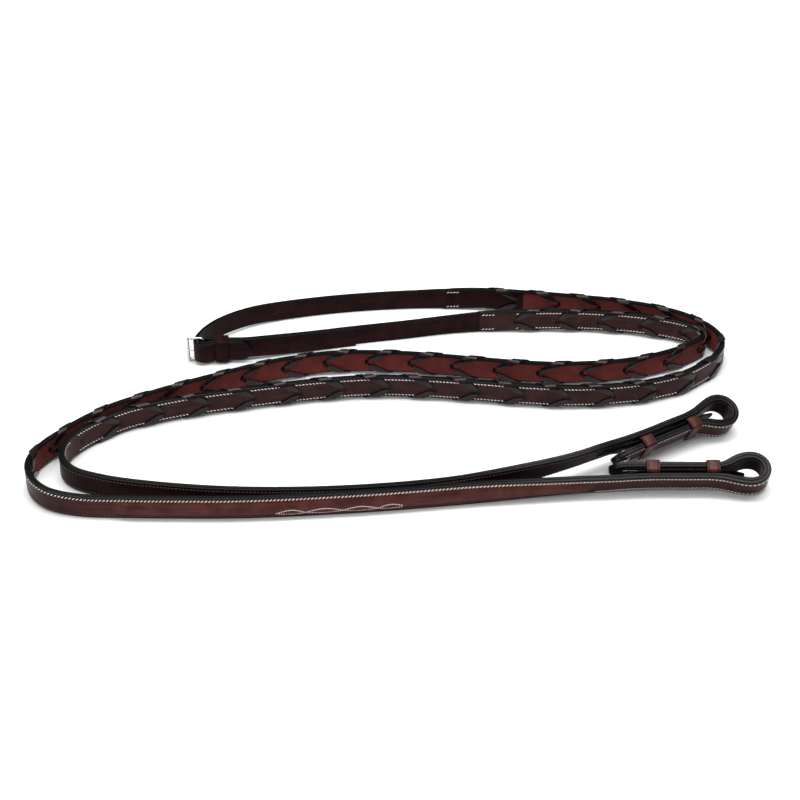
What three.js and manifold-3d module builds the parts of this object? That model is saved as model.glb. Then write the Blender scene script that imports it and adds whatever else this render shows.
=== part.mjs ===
// A pair of laced English riding reins, folded in three lines and standing on edge.
// Millimetres, +Z up, +X along the folded lines, and the floor at Z = 0.
//
// Each rein runs from the centre buckle along line 3, round the right-hand bend, back along
// line 2, round the left-hand bend and along line 1 to its bit end. A place on a rein is
// (s, v, m): s along its route, v across its width from the centreline (+v is up), and m through
// its thickness, from the outer (grain) face at -m to the inner (lining) face at +m.
import * as THREE from 'three';
import { mergeVertices } from 'three/addons/utils/BufferGeometryUtils.js';
import Module from 'manifold-3d';

const wasm = await Module();
wasm.setup();

// Driving dimensions
const HALF_WIDTH = 8; // the rein straps are 16 mm wide
const BIT_HALF_WIDTH = 7.5; // past the fork of the bit end they narrow to 15 mm
const OUTER_FACE = -2.1; // grain face of the two-ply strap
const PLY_GAP = 0.3; // clearance between two stitched or stacked pieces
const INNER_FACE = 2.1; // lining face of the two-ply strap
const CENTRE_HALF_WIDTH = 7.5; // the single-ply centre straps are 15 mm wide
const CENTRE_STRAP_HALF = 1.2; // half their thickness
const RETURN_HALF = 0.9; // half the thickness of the skived return layer
const LAP_INNER_FACE = 1.95; // the centre strap's lap takes the lining's place in the splice
const SKIVE_LENGTH = 1.5;
const FIRST_SLIT_FROM_LAP = 26;
const LACE_PITCH = 30.5;
const SLIT_LENGTH = 4.4; // a lacing slit, along the strap
const SLIT_HEIGHT = 8.4; // and across it
const LACE_HALF_WIDTH = 1.5;
const LACE_HALF_THICKNESS = 0.55;
const LACE_OFFSET = 3.2; // centre of a lace over either face of the strap
const END_BREAK = 0.6; // gap between the two pieces that meet at a flexing place
const RIDGE_RISE = 2.5; // height of the raised padding over the grain face
const RIDGE_RAMP = 9;
const BAR_RADIUS = 1.1; // wire of the centre buckle
const CHORD_ERROR = 0.16; // how far a facet may cut a bend
const ROUTE_DIVISIONS = 3000;
const LEAN_LENGTH = 95; // stretch over which a rein turns from upright to its bit end's lean
const BILLET_TIP_LENGTH = 16;

// The part's origin is the middle of its footprint; the routes below are measured from a nearby point.
const FOOTPRINT_CENTRE = new THREE.Vector3(-2.2, -6.05, 0.01);

// Centre buckle
const BUCKLE = { x: -141, y: 49.6, z: 10, outerBar: 11, halfHeight: 8.9, prongTip: 12.6 };
const FOLD_RADIUS = 3; // the buckle rein's fold round the heel bar
const RETURN_SPACING = 2.4; // between the centrelines of the strap and its return layer

// Shape of a bit end beyond its fork: [x along the heading, y towards the inner face].
// Out along the main strap, round the teardrop loop, and back along the billet to its tip.
const FORK_TO_TIP = [
  [-8, -2.7], [0, -2.2], [12, -1.5], [26, -0.5], [40, 0], [60, 0], [76, 0], [84, -0.7], [90, -2.2],
  [96, -3.6], [101, -3.9], [106.5, -2.2], [110.3, 2], [111.2, 7.2], [109, 12], [104.5, 14.9],
  [98.5, 15.2], [93, 13.5], [87.5, 10.4], [82.5, 8.4], [76, 8.2], [60, 8.2], [40, 8.2], [24, 8.2],
  [9.5, 8.2],
];
const HOOK_BASE_PATH = [[2, 1], [14, 1.9], [26, 3.2], [34, 4.1], [88, 4.1], [97, 4.1]];

// The buckle rein, from the splay of its centre strap to the fork of its bit end: [x, y, z] of
// its centreline.
const BUCKLE_REIN_RUN = [
  [-133, 52.6, 10], [-122, 52.6, 10], [-111, 53, 10], [-98, 55.4, 9.8], [-87, 58.2, 9.3],
  [-69, 62.8, 8.4], [-33, 71.8, 7.6], [4, 79, 7.7], [40, 86.2, 8.2], [70, 89, 9.2], [96, 89.4, 10],
  [133, 89.2, 10], [151, 87.6, 10], [170, 84.8, 10], [188, 80.4, 10], [203, 75, 10], [213, 68.6, 10],
  [217.8, 61, 10], [216, 53.4, 10], [207.5, 45.8, 10], [196.5, 38.8, 10], [181.5, 31.6, 10],
  [163, 25.4, 10], [145, 22, 10], [109, 19.8, 10], [74, 23.2, 10], [39, 28.6, 10], [4, 33.4, 10],
  [-32, 34.8, 10], [-50, 33.6, 10], [-85, 24.6, 10], [-118, 10.8, 10], [-150.5, -4.9, 10],
  [-183.4, -23, 10], [-198.8, -33.4, 10], [-213.7, -47.2, 10], [-227, -62.6, 10], [-236, -75.5, 10],
  [-241, -87.5, 10], [-241, -100.5, 10], [-235.5, -113, 9.6], [-225, -122.3, 8.9],
  [-206, -128, 8.2], [-172, -129.8, 8.1], [-140, -130.3, 8.1], [-108, -130.3, 8.1],
  [-77, -128.8, 8.1], [-45, -126.2, 8.1], [-13, -123, 8.1], [19, -119, 8.1], [52, -114.4, 8.1],
  [84, -109.4, 8.1], [103, -106.4, 8.1],
];
const POINT_REIN_RUN = [
  [-106, 47.6, 10], [-124, 47.6, 10], [-133, 46.6, 10], [-138, 44.6, 10], [-141, 43.7, 10],
  [-145.4, 45.3, 10], [-146.9, 49.6, 10], [-146.3, 54, 10], [-144.3, 60, 10], [-141, 67, 10],
  [-133.5, 77, 10], [-123, 86.8, 9.6], [-108.5, 96.2, 9], [-90, 103.5, 8.4], [-53, 113, 7.8],
  [-15, 118.6, 7.8], [14, 120.6, 8.2], [41.5, 120.6, 9], [60, 119.2, 10], [97, 115.2, 10],
  [134, 109.4, 10], [152, 106.2, 10], [171, 101.2, 10], [190, 94.6, 10], [207, 85.6, 10],
  [220, 74.2, 10], [228, 61.4, 10], [230.2, 48, 10], [225.8, 35, 10], [214.5, 21.8, 10],
  [197, 8, 10], [178, 0, 10], [160, -4.9, 10], [124, -8.8, 10], [90, -7, 10], [56, -2.4, 10],
  [21, 1.6, 10], [-14, 3.6, 10], [-49, 0.4, 10], [-83, -5.8, 10], [-117, -13.4, 10],
  [-150, -22, 10], [-183, -34.8, 10], [-198.3, -45.2, 10], [-211, -57, 10], [-218.8, -68.6, 10],
  [-221.8, -80.5, 9.6], [-219, -92, 9], [-210.8, -100.4, 8.5], [-193, -107.6, 8.2],
  [-174.5, -112.2, 8.1], [-141, -117.5, 8.1], [-108.6, -120.4, 8.1], [-76.7, -121.1, 8.1],
  [-44.7, -120, 8.1], [-12.8, -117.2, 8.1], [19.3, -112.8, 8.1], [51, -106, 8.1],
  [82, -97.2, 8.1], [102, -89.6, 8.1],
];

const COLOURS = {
  leather: 0x2a1512, lining: 0x5a2c22, plain: 0x24120f, lace: 0x160c0b, keeper: 0x6b2a1c, steel: 0xc4c6c8,
};

function material(kind) {
  const metal = kind === 'steel';
  const [roughness, metalness] = metal ? [0.25, 1] : [0.5, 0];
  return new THREE.MeshStandardMaterial({ color: COLOURS[kind], roughness, metalness });
}

// ---------- solids ----------

function signedVolume(positions, index) {
  const corners = [new THREE.Vector3(), new THREE.Vector3(), new THREE.Vector3()];
  let volume = 0;
  for (let i = 0; i < index.length; i += 3) {
    corners.forEach((corner, j) => corner.fromArray(positions, 3 * index[i + j]));
    volume += corners[0].dot(corners[1].clone().cross(corners[2]));
  }
  return volume / 6;
}

function outward(positions, index) {
  const turned = signedVolume(positions, index) < 0;
  const faces = [];
  for (let i = 0; i < index.length; i += 3) {
    faces.push(index[i], index[i + (turned ? 2 : 1)], index[i + (turned ? 1 : 2)]);
  }
  const geometry = new THREE.BufferGeometry();
  geometry.setAttribute('position', new THREE.Float32BufferAttribute(positions, 3));
  geometry.setIndex(faces);
  geometry.computeVertexNormals();
  return geometry;
}

function cap(outline, base, alongRing) {
  const points = outline.map(([v, m]) => new THREE.Vector2(v, m));
  const ringTurns = THREE.ShapeUtils.area(points) > 0;
  return THREE.ShapeUtils.triangulateShape(points, []).flatMap(([a, b, c]) => {
    const turns = THREE.ShapeUtils.area([points[a], points[b], points[c]]) > 0;
    const asRing = turns === ringTurns;
    return asRing === alongRing ? [base + a, base + b, base + c] : [base + a, base + c, base + b];
  });
}

// Joins rings of points into one closed skin. The outlines shape its two end caps, and without
// them the last ring joins the first.
function loft(rings, outlines = null) {
  const size = rings[0].length;
  const index = [];
  const spans = outlines ? rings.length - 1 : rings.length;
  for (let i = 0; i < spans; i += 1) {
    const near = i * size;
    const far = ((i + 1) % rings.length) * size;
    for (let j = 0; j < size; j += 1) {
      const next = (j + 1) % size;
      index.push(near + j, near + next, far + next, near + j, far + next, far + j);
    }
  }
  if (outlines) {
    index.push(...cap(outlines[0], 0, false));
    index.push(...cap(outlines.at(-1), (rings.length - 1) * size, true));
  }
  return outward(rings.flat().flatMap((point) => point.toArray()), index);
}

function toSolid(geometry) {
  const bare = geometry.clone();
  bare.deleteAttribute('normal');
  bare.deleteAttribute('uv');
  const merged = mergeVertices(bare);
  return new wasm.Manifold(new wasm.Mesh({
    numProp: 3,
    vertProperties: Float32Array.from(merged.attributes.position.array),
    triVerts: Uint32Array.from(merged.index.array),
  }));
}

function toGeometry(solid) {
  const mesh = solid.getMesh();
  return outward(Array.from(mesh.vertProperties), Array.from(mesh.triVerts));
}

function cut(geometry, cutters) {
  const left = cutters.map(toSolid).reduce((solid, cutter) => solid.subtract(cutter), toSolid(geometry));
  return toGeometry(left);
}

function join(geometries) {
  return toGeometry(geometries.map(toSolid).reduce((solid, other) => solid.add(other)));
}

function box(low, high) {
  const size = high.map((value, i) => value - low[i]);
  const middle = high.map((value, i) => (value + low[i]) / 2);
  return new THREE.BoxGeometry(...size).translate(...middle);
}

// ---------- routes ----------

class Route {
  constructor(points, innerSide, lean) {
    const knots = points.map((point) => new THREE.Vector3(...point));
    this.curve = new THREE.CatmullRomCurve3(knots, false, 'centripetal');
    this.curve.arcLengthDivisions = ROUTE_DIVISIONS;
    this.lengths = this.curve.getLengths();
    this.length = this.curve.getLength();
    this.innerSide = innerSide; // +1 where the inner face is on the left of the heading
    this.lean = lean;
    this.forkAcross = innerSide * FORK_TO_TIP[1][1];
    const [cos, sin] = [Math.cos(lean.heading), Math.sin(lean.heading)];
    this.fork = this.nearest(lean.x - this.forkAcross * sin, lean.y + this.forkAcross * cos);
    this.grid = this.facets();
  }

  nearest(x, y) {
    const distances = this.lengths.map((_, i) => {
      const point = this.curve.getPoint(i / ROUTE_DIVISIONS);
      return Math.hypot(point.x - x, point.y - y);
    });
    return this.lengths[distances.indexOf(Math.min(...distances))];
  }

  heading(s) {
    const t = this.curve.getUtoTmapping(0, THREE.MathUtils.clamp(s, 0, this.length));
    return this.curve.getTangent(t).setZ(0).normalize();
  }

  bend(s) {
    const reach = 1.5;
    return this.heading(s - reach).angleTo(this.heading(s + reach)) / (2 * reach);
  }

  // Stations close enough for every facet to stay within CHORD_ERROR of the bend.
  facets() {
    const [shortest, longest, twisting] = [2.2, 42, 11];
    const stepFor = (s) => {
      const most = s > this.fork - LEAN_LENGTH && s < this.fork ? twisting : longest;
      return Math.min(most, Math.sqrt((8 * CHORD_ERROR) / Math.max(this.bend(s), 1e-4)));
    };
    const grid = [];
    let s = 0;
    while (s < this.length) {
      grid.push(s);
      let step = THREE.MathUtils.clamp(stepFor(s), shortest, longest);
      for (const share of [0.25, 0.5, 0.75, 1]) {
        step = Math.max(shortest, Math.min(step, stepFor(s + share * step)));
      }
      s += step;
    }
    return grid;
  }

  stations(from, to, extra = []) {
    const clear = 0.8;
    const wanted = [from, ...extra.filter((s) => s > from && s < to), to];
    const inside = this.grid.filter((s) => s > from && s < to
      && wanted.every((other) => Math.abs(other - s) > clear));
    return [...wanted, ...inside].sort((a, b) => a - b);
  }

  place(s, v, m) {
    const along = THREE.MathUtils.clamp(s, 0, this.length);
    const t = this.curve.getUtoTmapping(0, along);
    const heading = this.heading(along);
    const left = new THREE.Vector3(-heading.y, heading.x, 0);
    const point = this.curve.getPoint(t).addScaledVector(left, this.innerSide * m);
    point.addScaledVector(heading, s - along);
    point.z += v;
    return this.leaned(point, along, left);
  }

  // Turns a point about the lean axis, which lies on the floor along the heading.
  leaned(point, s, left) {
    const { x, y, heading, angle, axis } = this.lean;
    const share = THREE.MathUtils.smoothstep(s, this.fork - LEAN_LENGTH, this.fork);
    const past = s >= this.fork;
    const foot = past ? new THREE.Vector3(x, y, 0) : this.curve.getPoint(this.curve.getUtoTmapping(0, s));
    const side = past ? new THREE.Vector3(-Math.sin(heading), Math.cos(heading), 0) : left;
    const across = point.clone().sub(foot).dot(side) - axis + (past ? 0 : this.forkAcross);
    const [cos, sin] = [Math.cos(share * angle), Math.sin(share * angle)];
    const moved = across * cos - point.z * sin;
    const height = across * sin + point.z * cos;
    return point.addScaledVector(side, moved - across).setZ(height);
  }
}

function bitEndPoints(lean, side) {
  const [cos, sin] = [Math.cos(lean.heading), Math.sin(lean.heading)];
  return FORK_TO_TIP.map(([along, inwards]) => {
    const across = side * inwards;
    return [lean.x + along * cos - across * sin, lean.y + along * sin + across * cos, HALF_WIDTH];
  });
}

// A parallel line beside a stretch of points, to the right of their heading.
function beside(points, distance) {
  return points.map(([x, y, z], i) => {
    const [before, after] = [points[Math.max(i - 1, 0)], points[Math.min(i + 1, points.length - 1)]];
    const [dx, dy] = [after[0] - before[0], after[1] - before[1]];
    const length = Math.hypot(dx, dy);
    return [x + (dy / length) * distance, y - (dx / length) * distance, z];
  });
}

// Where each bit end stands: the foot of its frame, its heading, how far its top leans to the
// right of that heading, and the line on the floor, measured to the left, about which it leans.
const BIT_ENDS = {
  buckle_rein: { x: 126, y: -101.6, heading: 0, angle: THREE.MathUtils.degToRad(23), axis: -6.1 },
  point_rein: {
    x: 124.2,
    y: -80.8,
    heading: THREE.MathUtils.degToRad(32.5),
    angle: THREE.MathUtils.degToRad(27),
    axis: -17.4,
  },
};

// The buckle rein starts at the end of its return layer and folds round the heel bar.
function buckleReinPoints() {
  const layered = BUCKLE_REIN_RUN.slice(1, 7);
  const back = beside(layered, RETURN_SPACING).reverse();
  const { z } = BUCKLE;
  const fold = [270, 225, 180, 135, 90].map((degrees) => {
    const angle = THREE.MathUtils.degToRad(degrees);
    return [BUCKLE.x + FOLD_RADIUS * Math.cos(angle), BUCKLE.y + FOLD_RADIUS * Math.sin(angle), z];
  });
  return [...back, [-133, 49.6, z], [-138, 47.4, z], ...fold, ...BUCKLE_REIN_RUN];
}

function makeRoutes() {
  const { buckle_rein: a, point_rein: b } = BIT_ENDS;
  return {
    buckle_rein: new Route([...buckleReinPoints(), ...bitEndPoints(a, 1)], 1, a),
    point_rein: new Route([...POINT_REIN_RUN, ...bitEndPoints(b, -1)], -1, b),
  };
}

// ---------- straps ----------

function strap(route, stations, section) {
  const outlines = stations.map(section);
  const rings = outlines.map((outline, i) => outline.map(([v, m]) => route.place(stations[i], v, m)));
  return loft(rings, outlines);
}

function halfWidth(route, s) {
  const taper = 20;
  const share = THREE.MathUtils.smoothstep(s, route.fork, route.fork + taper);
  return THREE.MathUtils.lerp(HALF_WIDTH, BIT_HALF_WIDTH, share);
}

function flatSection(route, low, high) {
  return (s) => {
    const half = halfWidth(route, s);
    return [[-half, low], [half, low], [half, high], [-half, high]];
  };
}

function slitCutter(route, s) {
  const centre = route.place(s, 0, 0);
  const heading = route.heading(s);
  return new THREE.BoxGeometry(SLIT_LENGTH, 4 * INNER_FACE, SLIT_HEIGHT)
    .rotateZ(Math.atan2(heading.y, heading.x))
    .translate(centre.x, centre.y, centre.z);
}

function slitsWithin(route, slits, from, to) {
  return slits.filter((s) => s > from && s < to).map((s) => slitCutter(route, s));
}

// Rounded tip: the strap's width closes along a half ellipse.
function tipHalf(half, fromTip, length) {
  const share = THREE.MathUtils.clamp(fromTip / length, 0, 1);
  return half * Math.sqrt(1 - (1 - share) ** 2);
}

function tipStations(tip, direction, length) {
  return [0.06, 0.25, 0.55, 1].map((share) => tip + direction * share * length);
}

// The single-ply strap of the centre buckle: thin in its return layer, or rounded at its tip,
// and skived to lie in the lining's place where it is sewn to the grip.
function centreStrap(route, rein) {
  const { lap, lapEnd, slits, returnEnd = 0, roundTip = 0 } = rein;
  const { lerp, clamp, smoothstep } = THREE.MathUtils;
  const [widening, thickening, blunt] = [25, 6, 0.5];
  const halfAt = (s) => {
    const full = lerp(CENTRE_HALF_WIDTH, HALF_WIDTH, smoothstep(s, lap - widening, lap));
    return roundTip ? Math.max(tipHalf(full, s, roundTip), blunt) : full;
  };
  const section = (s) => {
    const half = halfAt(s);
    const pastReturn = returnEnd ? smoothstep(s, returnEnd, returnEnd + thickening) : 1;
    const thick = lerp(RETURN_HALF, CENTRE_STRAP_HALF, pastReturn);
    const inLap = clamp((s - lap + SKIVE_LENGTH) / SKIVE_LENGTH, 0, 1);
    const low = lerp(-thick, PLY_GAP / 2, inLap);
    const high = lerp(thick, LAP_INNER_FACE, inLap);
    return [[-half, low], [half, low], [half, high], [-half, high]];
  };
  const shaped = roundTip ? tipStations(0, 1, roundTip) : [returnEnd, returnEnd + thickening];
  const stations = route.stations(0, lapEnd, [...shaped, lap - SKIVE_LENGTH, lap]);
  const cuts = [...rein.centreCuts, ...slitsWithin(route, slits, lap, lapEnd)];
  return cut(strap(route, stations, section), cuts);
}

function outerPly(route, from, to, slits) {
  const geometry = strap(route, route.stations(from, to), flatSection(route, OUTER_FACE, -PLY_GAP / 2));
  return cut(geometry, slitsWithin(route, slits, from, to));
}

function innerPly(route, from, to, slits) {
  const geometry = strap(route, route.stations(from, to), flatSection(route, PLY_GAP / 2, INNER_FACE));
  return cut(geometry, slitsWithin(route, slits, from, to));
}

// One lace: through each slit to the outer face, up to the edge, over it, and along the inner
// face to the next slit. The turn is the roll of the lace's width from +v towards +m.
function lace(route, slits, side) {
  const ring = (s, v, m, turn, skew, sign, throughSlit = false) => {
    const wide = [-Math.sin(skew), Math.cos(skew) * Math.cos(turn), Math.cos(skew) * Math.sin(turn)];
    const thick = throughSlit ? [1, 0, 0] : [0, -Math.sin(turn), Math.cos(turn)];
    return [[-1, -1], [1, -1], [1, 1], [-1, 1]].map(([a, b]) => {
      const [ds, dv, dm] = [0, 1, 2].map((i) => sign * (a * LACE_HALF_WIDTH * wide[i]
        + b * LACE_HALF_THICKNESS * thick[i]));
      return route.place(s + ds, side * (v + dv), m + dm);
    });
  };
  const rings = [];
  const [slitV, faceV, shoulderV, cornerV, edgeV] = [2.1, 2.6, 6.5, 8.6, 9.1];
  const [leave, shoulder, corner] = [1.9, 3.4, 1.7];
  const cornerM = 2.85;
  const tight = 1 / 150;
  slits.slice(0, -1).forEach((slit, k) => {
    const half = (slits[k + 1] - slit) / 2;
    const sign = k % 2 === 0 ? 1 : -1;
    const skew = Math.atan2(shoulderV - faceV, half - leave - shoulder);
    const curved = Math.max(route.bend(slit), route.bend(slit + half), route.bend(slit + 2 * half)) > tight;
    const mid = [(leave + half - shoulder) / 2, (faceV + shoulderV) / 2];
    rings.push(ring(slit, slitV, 0, 0, 0, sign, true));
    rings.push(ring(slit + leave, faceV, -LACE_OFFSET, 0, skew, sign));
    if (curved) rings.push(ring(slit + mid[0], mid[1], -LACE_OFFSET, 0, skew, sign));
    rings.push(ring(slit + half - shoulder, shoulderV, -LACE_OFFSET, 0, skew, sign));
    rings.push(ring(slit + half - corner, cornerV, -cornerM, Math.PI / 4, skew, sign));
    rings.push(ring(slit + half, edgeV, 0, Math.PI / 2, skew, sign));
    rings.push(ring(slit + half + corner, cornerV, cornerM, 0.75 * Math.PI, skew, sign));
    rings.push(ring(slit + half + shoulder, shoulderV, LACE_OFFSET, Math.PI, skew, sign));
    if (curved) rings.push(ring(slit + 2 * half - mid[0], mid[1], LACE_OFFSET, Math.PI, skew, sign));
    rings.push(ring(slit + 2 * half - leave, faceV, LACE_OFFSET, Math.PI, skew, sign));
  });
  rings.push(ring(slits.at(-1), slitV, 0, 0, 0, (slits.length - 1) % 2 === 0 ? 1 : -1, true));
  const end = [[-1, -1], [1, -1], [1, 1], [-1, 1]];
  return loft(rings, [end, end]);
}

// ---------- bit ends ----------

function ridgeShare(rein, s) {
  const up = THREE.MathUtils.smoothstep(s, rein.ridgeStart, rein.ridgeStart + RIDGE_RAMP);
  return up * (1 - THREE.MathUtils.smoothstep(s, rein.ridgeEnd - RIDGE_RAMP, rein.ridgeEnd));
}

function ridgeStations(rein) {
  const { ridgeStart: from, ridgeEnd: to } = rein;
  return [from, from + RIDGE_RAMP / 2, from + RIDGE_RAMP, to - RIDGE_RAMP, to - RIDGE_RAMP / 2, to];
}

function billetHalf(route, s) {
  const blunt = 1.5;
  return Math.max(tipHalf(halfWidth(route, s), route.length - s, BILLET_TIP_LENGTH), blunt);
}

function bitLeather(route, rein) {
  const arch = [[-5, 0.08], [-3, 0.84], [0, 1], [3, 0.84], [5, 0.08]];
  const hollow = [[4.6, 0], [2.6, 0.84], [0, 1], [-2.6, 0.84], [-4.6, 0]];
  const section = (s) => {
    const half = billetHalf(route, s);
    const rise = RIDGE_RISE * ridgeShare(rein, s);
    const narrow = half / HALF_WIDTH;
    const over = arch.map(([v, share]) => [v * narrow, OUTER_FACE - rise * share]);
    const under = hollow.map(([v, share]) => [v * narrow, -PLY_GAP / 2 - rise * share]);
    const edges = [[half, OUTER_FACE], [half, -PLY_GAP / 2]];
    return [[-half, OUTER_FACE], ...over, ...edges, ...under, [-half, -PLY_GAP / 2]];
  };
  const plain = (s) => {
    const half = billetHalf(route, s);
    return [[-half, OUTER_FACE], [half, OUTER_FACE], [half, -PLY_GAP / 2], [-half, -PLY_GAP / 2]];
  };
  const [pastRidge, overlap] = [6, 0.1];
  const [from, middle, to] = [rein.split + END_BREAK / 2, rein.ridgeEnd + pastRidge, route.length];
  const padded = strap(route, route.stations(from, middle, ridgeStations(rein)), section);
  const tips = tipStations(to, -1, BILLET_TIP_LENGTH);
  const rest = strap(route, route.stations(middle - overlap, to, tips), plain);
  return cut(join([padded, rest]), [rein.billetSlot]);
}

function bitLining(route, rein) {
  const section = (s) => {
    const half = billetHalf(route, s);
    return [[-half, PLY_GAP / 2], [half, PLY_GAP / 2], [half, INNER_FACE], [-half, INNER_FACE]];
  };
  const tips = tipStations(route.length, -1, BILLET_TIP_LENGTH);
  const stations = route.stations(rein.split + END_BREAK / 2, route.length, tips);
  return cut(strap(route, stations, section), [rein.billetSlot]);
}

function raisedCore(route, rein) {
  const section = () => [[-3.9, -0.35], [-2.3, -1.75], [0, -2.2], [2.3, -1.75], [3.9, -0.35]];
  const [from, to] = [rein.ridgeStart + RIDGE_RAMP, rein.ridgeEnd - RIDGE_RAMP];
  return strap(route, route.stations(from, to), section);
}

// The pieces of a bit end are drawn in its own frame: x along the heading, y to the left of it
// and z up from the strap's centreline, mirrored for a rein whose inner face is on the right.
function bitEndFrame(name) {
  const { x, y, heading, angle, axis } = BIT_ENDS[name];
  const turned = new THREE.Group();
  turned.position.set(x, y, 0);
  turned.rotation.z = heading;
  const leaning = new THREE.Group();
  leaning.position.set(0, axis, 0);
  leaning.rotation.x = angle;
  const local = new THREE.Group();
  local.position.set(0, -axis, HALF_WIDTH);
  turned.add(leaning);
  leaning.add(local);
  return { turned, local };
}

function sided(geometry, side) {
  if (side > 0) return geometry;
  const { attributes, index } = geometry.clone().scale(1, -1, 1);
  return outward(Array.from(attributes.position.array), Array.from(index.array));
}

// The strip sewn to the lining, on which the hook stud sits: its free end lies in the loop.
function hookBase() {
  const [half, thick, tip] = [7, 0.6, 12];
  const knots = HOOK_BASE_PATH.map(([x, y]) => new THREE.Vector3(x, y, 0));
  const curve = new THREE.CatmullRomCurve3(knots, false, 'centripetal');
  const last = knots.at(-1).x;
  const shares = [0, 0.06, 0.12, 0.2, 0.26, 0.33, 0.88, 0.94, 1];
  const outlines = [];
  const rings = shares.map((share) => {
    const point = curve.getPointAt(share);
    const tangent = curve.getTangentAt(share);
    const width = THREE.MathUtils.lerp(1.5, half, Math.min((last - point.x) / tip, 1));
    const outline = [[-width, -thick], [width, -thick], [width, thick], [-width, thick]];
    outlines.push(outline);
    return outline.map(([v, m]) => new THREE.Vector3(point.x - tangent.y * m, point.y + tangent.x * m, v));
  });
  return loft(rings, outlines);
}

function wire(points, radius) {
  const knots = points.map((point) => new THREE.Vector3(...point));
  const extrudePath = new THREE.CatmullRomCurve3(knots, false, 'centripetal');
  const circle = new THREE.Shape();
  circle.absarc(0, 0, radius, 0, 2 * Math.PI, false);
  return new THREE.ExtrudeGeometry(circle, { steps: 2 * knots.length, extrudePath, curveSegments: 3 });
}

// Stud plate between base and billet, post through the billet, hook tongue and wire eye.
function hookStud() {
  const plate = box([18, 5, -4], [62, 5.8, 4]);
  const post = box([20, 5.4, -1.2], [23, 11.4, 1.2]);
  const tongue = box([11.5, 10.7, -2], [23.4, 12, 2]);
  const eye = wire([[51, 5.4, -3], [51, 5.4, -7.6], [53, 5.4, -9.4], [59, 5.4, -9.4], [61, 5.4, -7.6],
    [61, 5.4, -3]], 0.55);
  return join([plate, post, tongue, eye]);
}

function roundedRectangle(path, left, right, low, high, radius) {
  path.moveTo(left + radius, low);
  path.lineTo(right - radius, low);
  path.absarc(right - radius, low + radius, radius, -Math.PI / 2, 0, false);
  path.lineTo(right, high - radius);
  path.absarc(right - radius, high - radius, radius, 0, Math.PI / 2, false);
  path.lineTo(left + radius, high);
  path.absarc(left + radius, high - radius, radius, Math.PI / 2, Math.PI, false);
  path.lineTo(left, low + radius);
  path.absarc(left + radius, low + radius, radius, Math.PI, 1.5 * Math.PI, false);
  return path;
}

// A leather keeper: a band whose opening spans y from low to high, and z from bottom to top.
function keeper(low, high, bottom, top, length) {
  const [wall, outside, inside] = [0.9, 1.2, 0.5];
  const shape = new THREE.Shape();
  roundedRectangle(shape, low - wall, high + wall, bottom - wall, top + wall, outside);
  shape.holes.push(roundedRectangle(new THREE.Path(), low, high, bottom, top, inside));
  const geometry = new THREE.ExtrudeGeometry(shape, { depth: length, bevelEnabled: false, curveSegments: 2 });
  // The extrusion's x, y and z become the band's y, z and x.
  geometry.applyMatrix4(new THREE.Matrix4().makeBasis(
    new THREE.Vector3(0, 1, 0), new THREE.Vector3(0, 0, 1), new THREE.Vector3(1, 0, 0)));
  return toGeometry(toSolid(geometry.translate(-length / 2, 0, 0)));
}

// ---------- centre buckle ----------

function buckleFrame() {
  const { x, y, z, outerBar, halfHeight } = BUCKLE;
  const [corner, sides, turns] = [2, 8, 3];
  const centres = [[x - corner, halfHeight - corner, 0], [x - outerBar + corner, halfHeight - corner, 90],
    [x - outerBar + corner, -halfHeight + corner, 180], [x - corner, -halfHeight + corner, 270]];
  const rings = centres.flatMap(([cx, cz, start]) => Array.from({ length: turns + 1 }, (_, i) => {
    const angle = THREE.MathUtils.degToRad(start + (90 * i) / turns);
    const out = new THREE.Vector3(Math.cos(angle), 0, Math.sin(angle));
    const middle = new THREE.Vector3(cx, y, z + cz).addScaledVector(out, corner);
    return Array.from({ length: sides }, (__, j) => {
      const around = (2 * Math.PI * (j + 0.5)) / sides;
      return middle.clone().addScaledVector(out, BAR_RADIUS * Math.cos(around))
        .add(new THREE.Vector3(0, BAR_RADIUS * Math.sin(around), 0));
    });
  }));
  return loft(rings);
}

function prong() {
  const { x, y, z, prongTip } = BUCKLE;
  const [inner, outer, width] = [1.4, 2.4, 3.4];
  const shape = new THREE.Shape();
  shape.absarc(0, 0, outer, 0, 2 * Math.PI, false);
  const hole = new THREE.Path();
  hole.absarc(0, 0, inner, 0, 2 * Math.PI, true);
  shape.holes.push(hole);
  const ring = new THREE.ExtrudeGeometry(shape, { depth: width, bevelEnabled: false, curveSegments: 8 });
  ring.translate(x, y, z - width / 2);
  const tongue = box([x - prongTip, y - 2.4, z - 1.4], [x - 1, y - 1.45, z + 1.4]);
  return join([ring, tongue]);
}

// ---------- the two reins ----------

const routes = makeRoutes();

const REINS = {
  buckle_rein: {
    side: 1,
    lap: routes.buckle_rein.nearest(58.5, 87.6),
    lastSlit: routes.buckle_rein.nearest(-240.9, -99),
    slitBow: -0.015,
    split: routes.buckle_rein.nearest(-198, -128.2),
    ridgeStart: routes.buckle_rein.nearest(-183, -129.4),
    ridgeEnd: routes.buckle_rein.fork - 1,
    returnEnd: routes.buckle_rein.nearest(-144, 49.6) + 3,
  },
  point_rein: {
    side: -1,
    lap: routes.point_rein.nearest(33, 120.6),
    lastSlit: routes.point_rein.nearest(-214.4, -60.4),
    slitBow: 0.0355,
    split: routes.point_rein.nearest(-186, -108.6),
    ridgeStart: routes.point_rein.nearest(-172, -112.6),
    ridgeEnd: routes.point_rein.fork - 1,
    roundTip: 9,
  },
};

function crewSlot() {
  const { x, y, z } = BUCKLE;
  return box([x - 5, y - 5, z - 2.1], [x + 4, y + 2.8, z + 2.1]);
}

function prongHoles() {
  const { x, y, z } = BUCKLE;
  return [box([x - 9, y - 6, z - 2], [x - 3.2, y - 0.7, z + 2])];
}

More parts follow.
